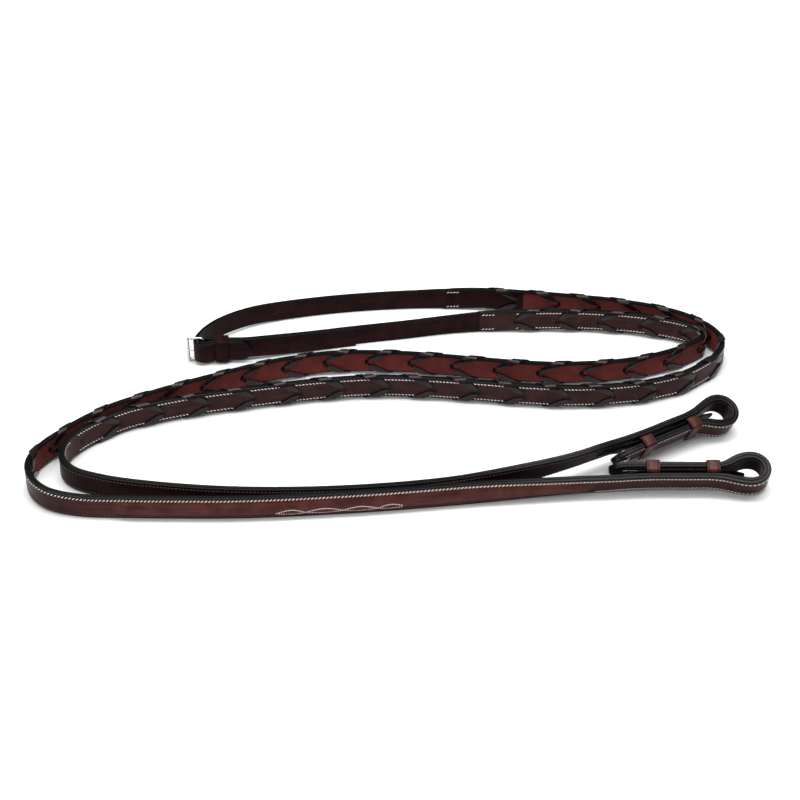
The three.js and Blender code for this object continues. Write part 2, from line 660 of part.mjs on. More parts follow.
// The billet's slot for the hook, cut in the leaning frame of its bit end.
function billetSlot(name, side) {
  const { turned, local } = bitEndFrame(name);
  turned.updateMatrixWorld(true);
  const cutter = sided(toGeometry(toSolid(box([17, 5.9, -1.9], [25, 11, 1.9]))), side);
  return cutter.applyMatrix4(local.matrixWorld);
}

// The slits are evenly spaced, or with a bow a little closer together at first and wider at last.
function spacedSlits({ lap, lastSlit, slitBow }) {
  const first = lap + FIRST_SLIT_FROM_LAP;
  const span = lastSlit - first;
  const count = Math.round(span / LACE_PITCH);
  return Array.from({ length: count + 1 }, (_, i) => {
    const share = i / count;
    return first + span * (share + slitBow * share * (share - 1));
  });
}

const reins = new THREE.Group();

function add(parent, name, geometry, kind) {
  const mesh = new THREE.Mesh(geometry, material(kind));
  mesh.name = name;
  parent.add(mesh);
  return mesh;
}

for (const [name, rein] of Object.entries(REINS)) {
  const route = routes[name];
  rein.slits = spacedSlits(rein);
  rein.lapEnd = rein.slits[1] + 3;
  rein.centreCuts = name === 'buckle_rein' ? [crewSlot()] : prongHoles();
  rein.billetSlot = billetSlot(name, rein.side);
  const liningStart = rein.lapEnd + END_BREAK / 2;
  const liningEnd = rein.lastSlit + 5;
  const bendStart = liningEnd + END_BREAK / 2;
  const splitBefore = rein.split - END_BREAK / 2;
  add(reins, `${name}_centre_strap`, centreStrap(route, rein), 'plain');
  const gripStart = rein.lap + END_BREAK / 2;
  add(reins, `${name}_grip_leather`, outerPly(route, gripStart, splitBefore, rein.slits), 'leather');
  add(reins, `${name}_grip_lining`, innerPly(route, liningStart, liningEnd, rein.slits), 'lining');
  add(reins, `${name}_bend_lining`, innerPly(route, bendStart, splitBefore, []), 'plain');
  add(reins, `${name}_upper_lace`, lace(route, rein.slits, 1), 'lace');
  add(reins, `${name}_lower_lace`, lace(route, rein.slits, -1), 'lace');
  add(reins, `${name}_bit_leather`, bitLeather(route, rein), 'leather');
  add(reins, `${name}_bit_lining`, bitLining(route, rein), 'plain');
  add(reins, `${name}_raised_core`, raisedCore(route, rein), 'plain');
  const { turned, local } = bitEndFrame(name);
  add(local, `${name}_hook_base`, sided(hookBase(), rein.side), 'plain');
  add(local, `${name}_hook_stud`, sided(hookStud(), rein.side), 'steel');
  const band = sided(keeper(3.25, 10.6, -7.9, 7.9, 9), rein.side);
  add(local, `${name}_outer_keeper`, band, 'keeper').position.x = 37.5;
  add(local, `${name}_inner_keeper`, band.clone(), 'keeper').position.x = 76.5;
  reins.add(turned);
}

add(reins, 'centre_buckle_frame', buckleFrame(), 'steel');
add(reins, 'centre_buckle_prong', prong(), 'steel');
const centreKeeper = keeper(45.1, 54.6, 2.1, 17.9, 9);
add(reins, 'centre_keeper', centreKeeper, 'keeper').position.x = -127.5;

reins.position.copy(FOOTPRINT_CENTRE).negate();
const part = new THREE.Group();
part.add(reins);

export default part;
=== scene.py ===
"""A pair of laced English riding reins, folded in three lines and standing on edge.

Metres, in the frame of the CAD model. A place on a rein is (s, v, m): s along its route, v across its
width from the centreline (+v is up), and m through its thickness, from the grain side at -m to the
lining side at +m.
"""
import math

import bpy
import numpy as np
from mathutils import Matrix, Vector


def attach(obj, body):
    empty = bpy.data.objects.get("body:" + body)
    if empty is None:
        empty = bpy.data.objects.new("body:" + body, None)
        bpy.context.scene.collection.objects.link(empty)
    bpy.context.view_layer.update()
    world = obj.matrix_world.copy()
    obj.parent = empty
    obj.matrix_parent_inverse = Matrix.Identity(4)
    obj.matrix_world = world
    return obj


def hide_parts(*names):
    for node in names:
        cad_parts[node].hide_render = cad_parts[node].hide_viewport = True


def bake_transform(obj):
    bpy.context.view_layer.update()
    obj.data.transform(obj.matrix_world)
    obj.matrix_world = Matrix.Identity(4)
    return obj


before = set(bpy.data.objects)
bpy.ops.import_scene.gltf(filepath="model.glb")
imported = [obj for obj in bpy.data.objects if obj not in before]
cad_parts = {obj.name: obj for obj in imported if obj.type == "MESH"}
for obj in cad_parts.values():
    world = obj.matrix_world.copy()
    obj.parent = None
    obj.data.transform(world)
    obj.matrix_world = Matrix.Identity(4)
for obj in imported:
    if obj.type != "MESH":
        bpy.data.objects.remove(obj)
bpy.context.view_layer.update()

# ---------- sizes, as in the CAD model ----------

FOOTPRINT_CENTRE = np.array([-0.0022, -0.00605, 0.00001])
HALF_WIDTH = 0.008
BIT_HALF_WIDTH = 0.0075
CENTRE_HALF_WIDTH = 0.0075
FACE = 0.0021
PLY_LINE = 0.00006
CENTRE_STRAP_HALF = 0.0012
RETURN_HALF = 0.0009
FIRST_SLIT_FROM_LAP = 0.026
LACE_PITCH = 0.0305
RIDGE_RISE = 0.0025
RIDGE_RAMP = 0.009
RIDGE_HALF = 0.0052
LEAN_LENGTH = 0.095
TAPER_LENGTH = 0.02
BILLET_TIP_LENGTH = 0.016
SKIVE_LENGTH = 0.01
BUCKLE = {"x": -0.141, "y": 0.0496, "z": 0.01, "outer_bar": 0.011, "half_height": 0.0089}
BAR_RADIUS = 0.0011
FOLD_RADIUS = 0.003
RETURN_SPACING = 0.0024

# The routes of the two reins, and the shape of a bit end beyond its fork.
BUCKLE_REIN_RUN = [
    (-0.133, 0.0526, 0.01), (-0.122, 0.0526, 0.01), (-0.111, 0.053, 0.01), (-0.098, 0.0554, 0.0098),
    (-0.087, 0.0582, 0.0093), (-0.069, 0.0628, 0.0084), (-0.033, 0.0718, 0.0076),
    (0.004, 0.079, 0.0077), (0.04, 0.0862, 0.0082), (0.07, 0.089, 0.0092), (0.096, 0.0894, 0.01),
    (0.133, 0.0892, 0.01), (0.151, 0.0876, 0.01), (0.17, 0.0848, 0.01), (0.188, 0.0804, 0.01),
    (0.203, 0.075, 0.01), (0.213, 0.0686, 0.01), (0.2178, 0.061, 0.01), (0.216, 0.0534, 0.01),
    (0.2075, 0.0458, 0.01), (0.1965, 0.0388, 0.01), (0.1815, 0.0316, 0.01), (0.163, 0.0254, 0.01),
    (0.145, 0.022, 0.01), (0.109, 0.0198, 0.01), (0.074, 0.0232, 0.01), (0.039, 0.0286, 0.01),
    (0.004, 0.0334, 0.01), (-0.032, 0.0348, 0.01), (-0.05, 0.0336, 0.01), (-0.085, 0.0246, 0.01),
    (-0.118, 0.0108, 0.01), (-0.1505, -0.0049, 0.01), (-0.1834, -0.023, 0.01), (-0.1988, -0.0334, 0.01),
    (-0.2137, -0.0472, 0.01), (-0.227, -0.0626, 0.01), (-0.236, -0.0755, 0.01), (-0.241, -0.0875, 0.01),
    (-0.241, -0.1005, 0.01), (-0.2355, -0.113, 0.0096), (-0.225, -0.1223, 0.0089),
    (-0.206, -0.128, 0.0082), (-0.172, -0.1298, 0.0081), (-0.14, -0.1303, 0.0081),
    (-0.108, -0.1303, 0.0081), (-0.077, -0.1288, 0.0081), (-0.045, -0.1262, 0.0081),
    (-0.013, -0.123, 0.0081), (0.019, -0.119, 0.0081), (0.052, -0.1144, 0.0081),
    (0.084, -0.1094, 0.0081), (0.103, -0.1064, 0.0081),
]
POINT_REIN_RUN = [
    (-0.106, 0.0476, 0.01), (-0.124, 0.0476, 0.01), (-0.133, 0.0466, 0.01), (-0.138, 0.0446, 0.01),
    (-0.141, 0.0437, 0.01), (-0.1454, 0.0453, 0.01), (-0.1469, 0.0496, 0.01), (-0.1463, 0.054, 0.01),
    (-0.1443, 0.06, 0.01), (-0.141, 0.067, 0.01), (-0.1335, 0.077, 0.01), (-0.123, 0.0868, 0.0096),
    (-0.1085, 0.0962, 0.009), (-0.09, 0.1035, 0.0084), (-0.053, 0.113, 0.0078),
    (-0.015, 0.1186, 0.0078), (0.014, 0.1206, 0.0082), (0.0415, 0.1206, 0.009), (0.06, 0.1192, 0.01),
    (0.097, 0.1152, 0.01), (0.134, 0.1094, 0.01), (0.152, 0.1062, 0.01), (0.171, 0.1012, 0.01),
    (0.19, 0.0946, 0.01), (0.207, 0.0856, 0.01), (0.22, 0.0742, 0.01), (0.228, 0.0614, 0.01),
    (0.2302, 0.048, 0.01), (0.2258, 0.035, 0.01), (0.2145, 0.0218, 0.01), (0.197, 0.008, 0.01),
    (0.178, 0, 0.01), (0.16, -0.0049, 0.01), (0.124, -0.0088, 0.01), (0.09, -0.007, 0.01),
    (0.056, -0.0024, 0.01), (0.021, 0.0016, 0.01), (-0.014, 0.0036, 0.01), (-0.049, 0.0004, 0.01),
    (-0.083, -0.0058, 0.01), (-0.117, -0.0134, 0.01), (-0.15, -0.022, 0.01), (-0.183, -0.0348, 0.01),
    (-0.1983, -0.0452, 0.01), (-0.211, -0.057, 0.01), (-0.2188, -0.0686, 0.01),
    (-0.2218, -0.0805, 0.0096), (-0.219, -0.092, 0.009), (-0.2108, -0.1004, 0.0085),
    (-0.193, -0.1076, 0.0082), (-0.1745, -0.1122, 0.0081), (-0.141, -0.1175, 0.0081),
    (-0.1086, -0.1204, 0.0081), (-0.0767, -0.1211, 0.0081), (-0.0447, -0.12, 0.0081),
    (-0.0128, -0.1172, 0.0081), (0.0193, -0.1128, 0.0081), (0.051, -0.106, 0.0081),
    (0.082, -0.0972, 0.0081), (0.102, -0.0896, 0.0081),
]
FORK_TO_TIP = [
    (-0.008, -0.0027), (0, -0.0022), (0.012, -0.0015), (0.026, -0.0005), (0.04, 0), (0.06, 0),
    (0.076, 0), (0.084, -0.0007), (0.09, -0.0022), (0.096, -0.0036), (0.101, -0.0039),
    (0.1065, -0.0022), (0.1103, 0.002), (0.1112, 0.0072), (0.109, 0.012), (0.1045, 0.0149),
    (0.0985, 0.0152), (0.093, 0.0135), (0.0875, 0.0104), (0.0825, 0.0084), (0.076, 0.0082),
    (0.06, 0.0082), (0.04, 0.0082), (0.024, 0.0082), (0.0095, 0.0082),
]
HOOK_BASE_PATH = [(0.002, 0.001), (0.014, 0.0019), (0.026, 0.0032), (0.034, 0.0041), (0.088, 0.0041),
                  (0.097, 0.0041)]

# Where each bit end stands: foot, heading, lean, and the floor line about which it leans.
BIT_ENDS = {
    "buckle_rein": {"x": 0.126, "y": -0.1016, "heading": 0.0, "angle": math.radians(23), "axis": -0.0061},
    "point_rein": {"x": 0.1242, "y": -0.0808, "heading": math.radians(32.5), "angle": math.radians(27),
                   "axis": -0.0174},
}
SIDES = {"buckle_rein": 1, "point_rein": -1}  # +1 where the lining is on the left of the heading

# ---------- camera ----------

CAMERA_ELEVATION = math.radians(35)
CAMERA_DISTANCE = 1.25
SENSOR = 36.0
LENS = 80.55


def make_camera():
    data = bpy.data.cameras.new("camera")
    data.sensor_width = SENSOR
    data.lens = LENS
    camera = bpy.data.objects.new("camera", data)
    back = Vector((0, -math.cos(CAMERA_ELEVATION), math.sin(CAMERA_ELEVATION)))
    camera.location = Vector(-FOOTPRINT_CENTRE) + CAMERA_DISTANCE * back
    camera.rotation_euler = (math.pi / 2 - CAMERA_ELEVATION, 0, 0)
    bpy.context.scene.collection.objects.link(camera)
    bpy.context.scene.camera = camera


make_camera()

# ---------- routes ----------


def smoothstep(x, low, high):
    t = np.clip((np.asarray(x, float) - low) / (high - low), 0, 1)
    return t * t * (3 - 2 * t)


def lerp(a, b, share):
    return a + (b - a) * share


def spline(knots, per_span=60):
    """A centripetal Catmull-Rom curve through the knots, as a fine line."""
    knots = np.array(knots, float)
    padded = np.vstack([2 * knots[0] - knots[1], knots, 2 * knots[-1] - knots[-2]])
    t = np.linspace(0, 1, per_span, endpoint=False)[:, None]
    line = []
    for p0, p1, p2, p3 in zip(padded, padded[1:], padded[2:], padded[3:]):
        d0, d1, d2 = (math.sqrt(np.linalg.norm(b - a)) for a, b in ((p0, p1), (p1, p2), (p2, p3)))
        m1 = d1 * ((p1 - p0) / d0 - (p2 - p0) / (d0 + d1) + (p2 - p1) / d1)
        m2 = d1 * ((p2 - p1) / d1 - (p3 - p1) / (d1 + d2) + (p3 - p2) / d2)
        cubic = 2 * (p1 - p2) + m1 + m2
        square = -3 * (p1 - p2) - 2 * m1 - m2
        line.append(((cubic * t + square) * t + m1) * t + p1)
    return np.vstack([*line, knots[-1:]])


class Route:
    def __init__(self, name, knots):
        self.side = SIDES[name]
        self.end = BIT_ENDS[name]
        self.line = spline(knots)
        steps = np.linalg.norm(np.diff(self.line, axis=0), axis=1)
        self.along = np.concatenate([[0], np.cumsum(steps)])
        self.length = self.along[-1]
        self.fork_across = self.side * FORK_TO_TIP[1][1]
        heading = self.end["heading"]
        fork = np.array([self.end["x"] - self.fork_across * math.sin(heading),
                         self.end["y"] + self.fork_across * math.cos(heading)])
        self.fork = self.nearest(*fork)

    def nearest(self, x, y):
        gaps = np.hypot(self.line[:, 0] - x, self.line[:, 1] - y)
        return self.along[gaps.argmin()]

    def centre(self, s):
        return np.stack([np.interp(s, self.along, self.line[:, i]) for i in range(3)], -1)

    def heading(self, s):
        reach = 0.0006
        low = np.clip(s - reach, 0, self.length - 2 * reach)
        across = self.centre(low + 2 * reach) - self.centre(low)
        across[..., 2] = 0
        return across / np.linalg.norm(across, axis=-1, keepdims=True)

    def place(self, s, v, m):
        """The point at (s, v, m), in the row frame."""
        s, v, m = np.broadcast_arrays(*(np.asarray(value, float) for value in (s, v, m)))
        kept = np.clip(s, 0, self.length)
        heading = self.heading(kept)
        left = np.stack([-heading[..., 1], heading[..., 0], np.zeros_like(kept)], -1)
        point = self.centre(kept) + (self.side * m)[..., None] * left + (s - kept)[..., None] * heading
        point[..., 2] += v
        return self.leaned(point, kept, left) - FOOTPRINT_CENTRE

    def leaned(self, point, s, left):
        """Turns points about the lean axis, which lies on the floor along the heading."""
        end = self.end
        past = (s >= self.fork)[..., None]
        ahead = end["heading"]
        foot = np.where(past, [end["x"], end["y"], 0], self.centre(s))
        across = np.where(past, [-math.sin(ahead), math.cos(ahead), 0], left)
        offset = ((point - foot) * across)[..., :2].sum(-1) - end["axis"]
        offset = offset + np.where(s >= self.fork, 0, self.fork_across)
        angle = end["angle"] * smoothstep(s, self.fork - LEAN_LENGTH, self.fork)
        moved = offset * np.cos(angle) - point[..., 2] * np.sin(angle)
        height = offset * np.sin(angle) + point[..., 2] * np.cos(angle)
        turned = point + across * (moved - offset)[..., None]
        turned[..., 2] = height
        return turned

    def stations(self, start, end, step=0.002, extra=()):
        """Places from start to end, about a step apart, and the extra ones between them."""
        count = max(int(round((end - start) / step)), 2)
        extra = [s for s in extra if start + 1e-4 < s < end - 1e-4]
        found = np.unique(np.concatenate([np.linspace(start, end, count + 1), extra]))
        return found[np.concatenate([[True], np.diff(found) > 1e-4])]


def beside(points, distance):
    """A parallel line, to the right of a line's heading."""
    points = np.array(points)
    ahead = np.vstack([points[1:], points[-1:]]) - np.vstack([points[:1], points[:-1]])
    ahead /= np.linalg.norm(ahead[:, :2], axis=1, keepdims=True)
    return points + distance * np.stack([ahead[:, 1], -ahead[:, 0], 0 * ahead[:, 0]], -1)


def bit_end_points(name):
    end = BIT_ENDS[name]
    cos, sin = math.cos(end["heading"]), math.sin(end["heading"])
    for along, inwards in FORK_TO_TIP:
        across = SIDES[name] * inwards
        yield (end["x"] + along * cos - across * sin, end["y"] + along * sin + across * cos, HALF_WIDTH)


def buckle_rein_points():
    """From the end of the return layer, round the heel bar and on along the rein."""
    back = beside(BUCKLE_REIN_RUN[1:7], RETURN_SPACING)[::-1]
    x, y, z = BUCKLE["x"], BUCKLE["y"], BUCKLE["z"]
    turns = np.radians([270, 225, 180, 135, 90])
    fold = [(x + FOLD_RADIUS * math.cos(turn), y + FOLD_RADIUS * math.sin(turn), z) for turn in turns]
    return [*back, (-0.133, 0.0496, z), (-0.138, 0.0474, z), *fold, *BUCKLE_REIN_RUN]


ROUTES = {
    "buckle_rein": Route("buckle_rein", [*buckle_rein_points(), *bit_end_points("buckle_rein")]),
    "point_rein": Route("point_rein", [*POINT_REIN_RUN, *bit_end_points("point_rein")]),
}


class Rein:
    """The places along a rein where its pieces start and end."""

    def __init__(self, name, lap, last_slit, slit_bow, split, ridge_start, return_end=None):
        self.name = name
        self.route = route = ROUTES[name]
        self.side = SIDES[name]
        self.lap = route.nearest(*lap)
        self.last_slit = route.nearest(*last_slit)
        self.split = route.nearest(*split)
        self.ridge_start = route.nearest(*ridge_start)
        self.ridge_end = route.fork - 0.001
        self.return_end = route.nearest(*return_end) + 0.003 if return_end else None
        first = self.lap + FIRST_SLIT_FROM_LAP
        count = round((self.last_slit - first) / LACE_PITCH)
        share = np.linspace(0, 1, count + 1)
        self.slits = lerp(first, self.last_slit, share + slit_bow * share * (share - 1))
        self.seam = self.last_slit + 0.0045

    def bit_end(self, x, y, z):
        """A point given in the bit end's own frame."""
        x, y, z = np.broadcast_arrays(*(np.asarray(value, float) for value in (x, y, z)))
        end = self.route.end
        offset, up = self.side * y - end["axis"], z + HALF_WIDTH
        cos, sin = math.cos(end["angle"]), math.sin(end["angle"])
        across, height = offset * cos - up * sin + end["axis"], offset * sin + up * cos
        cos, sin = math.cos(end["heading"]), math.sin(end["heading"])
        point = np.stack([end["x"] + x * cos - across * sin, end["y"] + x * sin + across * cos, height], -1)
        return point - FOOTPRINT_CENTRE


REINS = [
    Rein("buckle_rein", lap=(0.0585, 0.0876), last_slit=(-0.2409, -0.099), slit_bow=-0.015,
         split=(-0.198, -0.1282), ridge_start=(-0.183, -0.1294), return_end=(-0.144, 0.0496)),
    Rein("point_rein", lap=(0.033, 0.1206), last_slit=(-0.2144, -0.0604), slit_bow=0.0355,
         split=(-0.186, -0.1086), ridge_start=(-0.172, -0.1126)),
]

# ---------- materials ----------


class Shader:
    """A material's node tree, with a short way to add a node and link it."""

    def __init__(self, name):
        self.material = bpy.data.materials.new(name)
        self.material.use_nodes = True
        self.tree = self.material.node_tree
        self.surface = self.tree.nodes["Principled BSDF"]

    def add(self, kind, settings=None, **inputs):
        node = self.tree.nodes.new(kind)
        for key, value in (settings or {}).items():
            setattr(node, key, value)
        for key, value in inputs.items():
            self.feed(node, key.replace("_", " "), value)
        return node

    def feed(self, node, key, value):
        socket = node.inputs[int(key)] if key.isdigit() else node.inputs[key]
        if isinstance(value, bpy.types.NodeSocket):
            self.tree.links.new(value, socket)
        else:
            socket.default_value = value

    def math(self, operation, a, b=0.0):
        node = self.add("ShaderNodeMath", {"operation": operation})
        self.feed(node, "0", a)
        self.feed(node, "1", b)
        return node.outputs[0]

    def field(self, name):
        return self.add("ShaderNodeAttribute", {"attribute_name": name}).outputs["Fac"]

    def ramp(self, value, low, high):
        node = self.add("ShaderNodeMapRange", {"interpolation_type": "SMOOTHSTEP"}, Value=value)
        self.feed(node, "From Min", low)
        self.feed(node, "From Max", high)
        return node.outputs["Result"]

    def mix(self, share, a, b):
        node = self.add("ShaderNodeMix", {"data_type": "RGBA"}, Factor=share)
        for socket, value in ((node.inputs[6], a), (node.inputs[7], b)):
            if isinstance(value, bpy.types.NodeSocket):
                self.tree.links.new(value, socket)
            else:
                socket.default_value = (*value, 1)
        return node.outputs[2]

    def noise(self, place, scale, detail=3.0):
        node = self.add("ShaderNodeTexNoise", Vector=place, Scale=scale, Detail=detail)
        return node.outputs["Fac"]

    def bump(self, height, distance, strength=1.0, normal=None):
        node = self.add("ShaderNodeBump", Height=height, Distance=distance, Strength=strength)
        if normal is not None:
            self.feed(node, "Normal", normal)
        return node.outputs["Normal"]

    def finish(self, **inputs):
        for key, value in inputs.items():
            self.feed(self.surface, key.replace("_", " "), value)
        return self.material


def strap_place(shader):
    """Coordinates that run along and across a strap, in metres."""
    return shader.add("ShaderNodeCombineXYZ", X=shader.field("along"), Y=shader.field("across")).outputs[0]


PAINT = (0.003, 0.0026, 0.003)
EDGE_ROUGHNESS = 0.2
EDGE_COAT = 0.12


def leather(name, dark, light, roughness, gloss, grain=0.00005, warm=None):
    """Bridle leather: mottled colour, fine pores and painted edges. Line 1 has warmer colours."""
    shader = Shader(name)
    place = strap_place(shader)
    mottle = shader.noise(place, 90.0, 4.0)
    streak = shader.add("ShaderNodeVectorMath", {"operation": "MULTIPLY"})
    shader.feed(streak, "0", place)
    streak.inputs[1].default_value = (25, 400, 1)
    fibre = shader.noise(streak.outputs[0], 1.0, 3.0)
    share = shader.ramp(shader.math("ADD", shader.math("MULTIPLY", mottle, 0.6),
                                    shader.math("MULTIPLY", fibre, 0.4)), 0.35, 0.65)
    colour = shader.mix(share, dark, light)
    rough = shader.math("ADD", shader.math("MULTIPLY", share, 0.12), roughness)
    if warm:
        colour = shader.mix(shader.field("warm"), colour, shader.mix(share, *warm))
    edge = shader.field("edge")
    # The edge field gives the black edge paint, and on the grip plies also painted shade at the slit
    # mouths.
    colour = shader.mix(edge, colour, PAINT)
    rough = shader.math("SUBTRACT", rough, shader.math("MULTIPLY", edge, roughness - EDGE_ROUGHNESS))
    pores = shader.add("ShaderNodeTexVoronoi", {"feature": "SMOOTH_F1"}, Vector=place, Scale=1500.0)
    normal = shader.bump(pores.outputs["Distance"], grain)
    normal = shader.bump(mottle, 0.00012, normal=normal)
    return shader.finish(Base_Color=colour, Roughness=rough, Normal=normal, Specular_IOR_Level=gloss,
                         Coat_Weight=shader.math("MULTIPLY", edge, EDGE_COAT),
                         Coat_Roughness=EDGE_ROUGHNESS)


def grip_lining_material():
    """Embossed grip leather: a close grid of small raised pips."""
    shader = Shader("textured_lining")
    place = strap_place(shader)
    pitch = 0.0014
    waves = [shader.math("SINE", shader.math("MULTIPLY", shader.field(field), 2 * math.pi / pitch))
             for field in ("along", "across")]
    pips = shader.ramp(shader.math("MULTIPLY", *waves), -0.25, 0.55)
    mottle = shader.noise(place, 120.0, 3.0)
    colour = shader.mix(shader.ramp(mottle, 0.3, 0.7), (0.24, 0.047, 0.041), (0.34, 0.067, 0.058))
    colour = shader.mix(pips, (0.03, 0.0065, 0.0055), colour)
    # The edge field gives the black edge paint, and on the inner grip ply also painted shade at the slit
    # mouths.
    colour = shader.mix(shader.field("edge"), colour, PAINT)
    normal = shader.bump(pips, 0.0003)
    return shader.finish(Base_Color=colour, Roughness=0.45, Normal=normal, Specular_IOR_Level=0.05)


def lace_material():
    shader = Shader("lace_leather")
    place = strap_place(shader)
    mottle = shader.noise(place, 160.0, 4.0)
    colour = shader.mix(shader.ramp(mottle, 0.3, 0.7), (0.0065, 0.003, 0.004), (0.015, 0.0075, 0.0085))
    normal = shader.bump(mottle, 0.00012)
    rough = shader.math("ADD", shader.math("MULTIPLY", mottle, 0.2), 0.1)
    return shader.finish(Base_Color=colour, Roughness=rough, Normal=normal, Specular_IOR_Level=0.2)


def keeper_material():
    shader = Shader("keeper_leather")
    place = strap_place(shader)
    mottle = shader.noise(place, 220.0, 4.0)
    colour = shader.mix(shader.ramp(mottle, 0.3, 0.7), (0.024, 0.0045, 0.003), (0.075, 0.0145, 0.009))
    colour = shader.mix(shader.field("edge"), colour, (0.02, 0.006, 0.005))
    normal = shader.bump(mottle, 0.00015)
    return shader.finish(Base_Color=colour, Roughness=0.22, Normal=normal, Specular_IOR_Level=0.12)


def thread_material(name, colour):
    shader = Shader(name)
    place = shader.add("ShaderNodeTexCoord").outputs["Object"]
    twist = shader.add("ShaderNodeTexNoise", Vector=place, Scale=1800.0, Detail=2.0).outputs["Fac"]
    tone = shader.mix(twist, tuple(0.75 * c for c in colour), colour)
    normal = shader.bump(twist, 0.0001)
    return shader.finish(Base_Color=tone, Roughness=0.55, Normal=normal)


def steel_material():
    shader = Shader("steel")
    place = shader.add("ShaderNodeTexCoord").outputs["Object"]
    marks = shader.noise(place, 700.0, 3.0)
    rough = shader.math("ADD", shader.math("MULTIPLY", marks, 0.12), 0.12)
    normal = shader.bump(marks, 0.00003)
    return shader.finish(Base_Color=(0.5, 0.49, 0.47, 1), Metallic=1.0, Roughness=rough, Normal=normal)


GRAIN = leather("grain_leather", (0.019, 0.0062, 0.0062), (0.040, 0.0135, 0.0125), 0.33, 0.08,
                warm=((0.045, 0.0125, 0.0105), (0.085, 0.026, 0.022)))
PLAIN = leather("plain_leather", (0.0085, 0.0023, 0.0025), (0.021, 0.0055, 0.0058), 0.34, 0.04)
LINING = grip_lining_material()
LACE = lace_material()
KEEPER = keeper_material()
THREAD = thread_material("thread", (0.85, 0.76, 0.72))
DARK_THREAD = thread_material("dark_thread", (0.10, 0.05, 0.035))
STEEL = steel_material()

# ---------- meshes ----------


def loft(rings, fields=None, caps=True, closed=False):
    """Joins rings of points (n, k, 3) into one skin: its points, faces and point fields."""
    count, size = rings.shape[:2]
    index = np.arange(count * size).reshape(count, size)
    near, far = (index, np.roll(index, -1, axis=0)) if closed else (index[:-1], index[1:])
    quads = np.stack([near, np.roll(near, -1, axis=1), np.roll(far, -1, axis=1), far], -1).reshape(-1, 4)
    points = rings.reshape(-1, 3)
    a, b, c, d = (points[quads[:, i]] - points.mean(0) for i in range(4))
    volume = (a * np.cross(b, c)).sum() + (a * np.cross(c, d)).sum()
    faces = [*quads.tolist()]
    if caps and not closed:
        faces += [index[0][::-1].tolist(), index[-1].tolist()]
    if volume < 0:
        faces = [face[::-1] for face in faces]
    flat = {key: np.asarray(value, float).reshape(-1) for key, value in (fields or {}).items()}
    return points, faces, flat


def merged(parts):
    """Several skins as one."""
    points, faces, fields, base = [], [], {}, 0
    for part_points, part_faces, part_fields in parts:
        points.append(part_points)
        faces += [[base + corner for corner in face] for face in part_faces]
        base += len(part_points)
        for key, value in part_fields.items():
            fields.setdefault(key, []).append(value)
    return np.vstack(points), faces, {key: np.concatenate(value) for key, value in fields.items()}


CREASE_ANGLE = math.radians(55)


def piece(name, skin, material, replaces=()):
    points, faces, fields = skin
    mesh = bpy.data.meshes.new(name)
    mesh.from_pydata(points.tolist(), [], faces)
    for key, value in fields.items():
        mesh.attributes.new(key, "FLOAT", "POINT").data.foreach_set("value", value)
    mesh.shade_smooth()
    mesh.set_sharp_from_angle(angle=CREASE_ANGLE)
    mesh.materials.append(material)
    made = bpy.data.objects.new(name, mesh)
    bpy.context.scene.collection.objects.link(made)
    if replaces:
        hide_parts(*replaces)
    return made


FACE_STEPS = np.array([-1, -0.95, -0.87, -0.76, -0.62, -0.47, -0.32, -0.16, 0,
                       0.16, 0.32, 0.47, 0.62, 0.76, 0.87, 0.95, 1])


def ply_outline(half, low, high, low_radius, high_radius, corner=5):
    """A strap section with rounded edges: v and m at each station, and which points are on the low face."""
    half, low, high = (np.asarray(value, float)[:, None] for value in np.broadcast_arrays(half, low, high))
    turns = np.linspace(0, math.pi / 2, corner + 1)[1:-1]
    v, m, face = [], [], []

    def run(steps, radius, edge, is_low):
        v.append(steps * (half - np.minimum(radius, 0.8 * half)))
        m.append(edge + 0 * v[-1])
        face.append(np.full(len(steps), is_low))

    def arc(angles, radius, edge, out, side):
        kept = np.minimum(radius, 0.8 * half)
        v.append(side * (half - kept + kept * np.cos(angles)))
        m.append(edge - out * radius + out * radius * np.sin(angles))
        face.append(np.full(len(angles), False))

    run(FACE_STEPS, low_radius, low, True)
    arc(turns[::-1], low_radius, low, -1, 1)
    arc(turns, high_radius, high, 1, 1)
    run(FACE_STEPS[::-1], high_radius, high, False)
    arc(turns[::-1], high_radius, high, 1, -1)
    arc(turns, low_radius, low, -1, -1)
    return np.hstack(v), np.hstack(m), np.concatenate(face)


def edge_field(v, half):
    return smoothstep(np.abs(v), np.asarray(half)[:, None] - 0.00125, np.asarray(half)[:, None] - 0.0007)


def ply(route, s, half, low, high, outer_side, shape=None, warm=0.0, slit_shade=None):
    """One layer of a strap. Its free edge is round, and its edge at the ply line is sharper."""
    free, line = 0.0006, 0.00012
    low_radius, high_radius = (free, line) if outer_side else (line, free)
    v, m, is_low = ply_outline(half, low, high, low_radius, high_radius)
    along = np.broadcast_to(s[:, None], v.shape)
    if shape:
        m = m + shape(along, v) * (is_low if outer_side else ~is_low & (np.abs(m - np.max(high)) < 1e-6))
    edge = edge_field(v, half)
    # Painted shade: the dark slit mouths join the edge field, so they take the black edge paint colour.
    if slit_shade:
        edge = np.maximum(edge, slit_shade(along, v))
    fields = {"along": along, "across": v, "edge": edge, "warm": warm + 0 * v}
    return loft(route.place(along, v, m), fields)


# ---------- straps ----------


def strap_half(rein, s):
    return lerp(HALF_WIDTH, BIT_HALF_WIDTH, smoothstep(s, rein.route.fork, rein.route.fork + TAPER_LENGTH))


def tip_half(half, from_tip, length, blunt):
    share = np.clip(from_tip / length, 0, 1)
    return np.maximum(half * np.sqrt(1 - (1 - share) ** 2), blunt)


def billet_half(rein, s):
    return tip_half(strap_half(rein, s), rein.route.length - s, BILLET_TIP_LENGTH, 0.0012)


TIP_SHARES = (0.01, 0.03, 0.07, 0.12, 0.2, 0.3, 0.42, 0.56, 0.72, 0.88)


def tip_stations(tip, direction, length):
    return [tip + direction * length * share for share in TIP_SHARES]


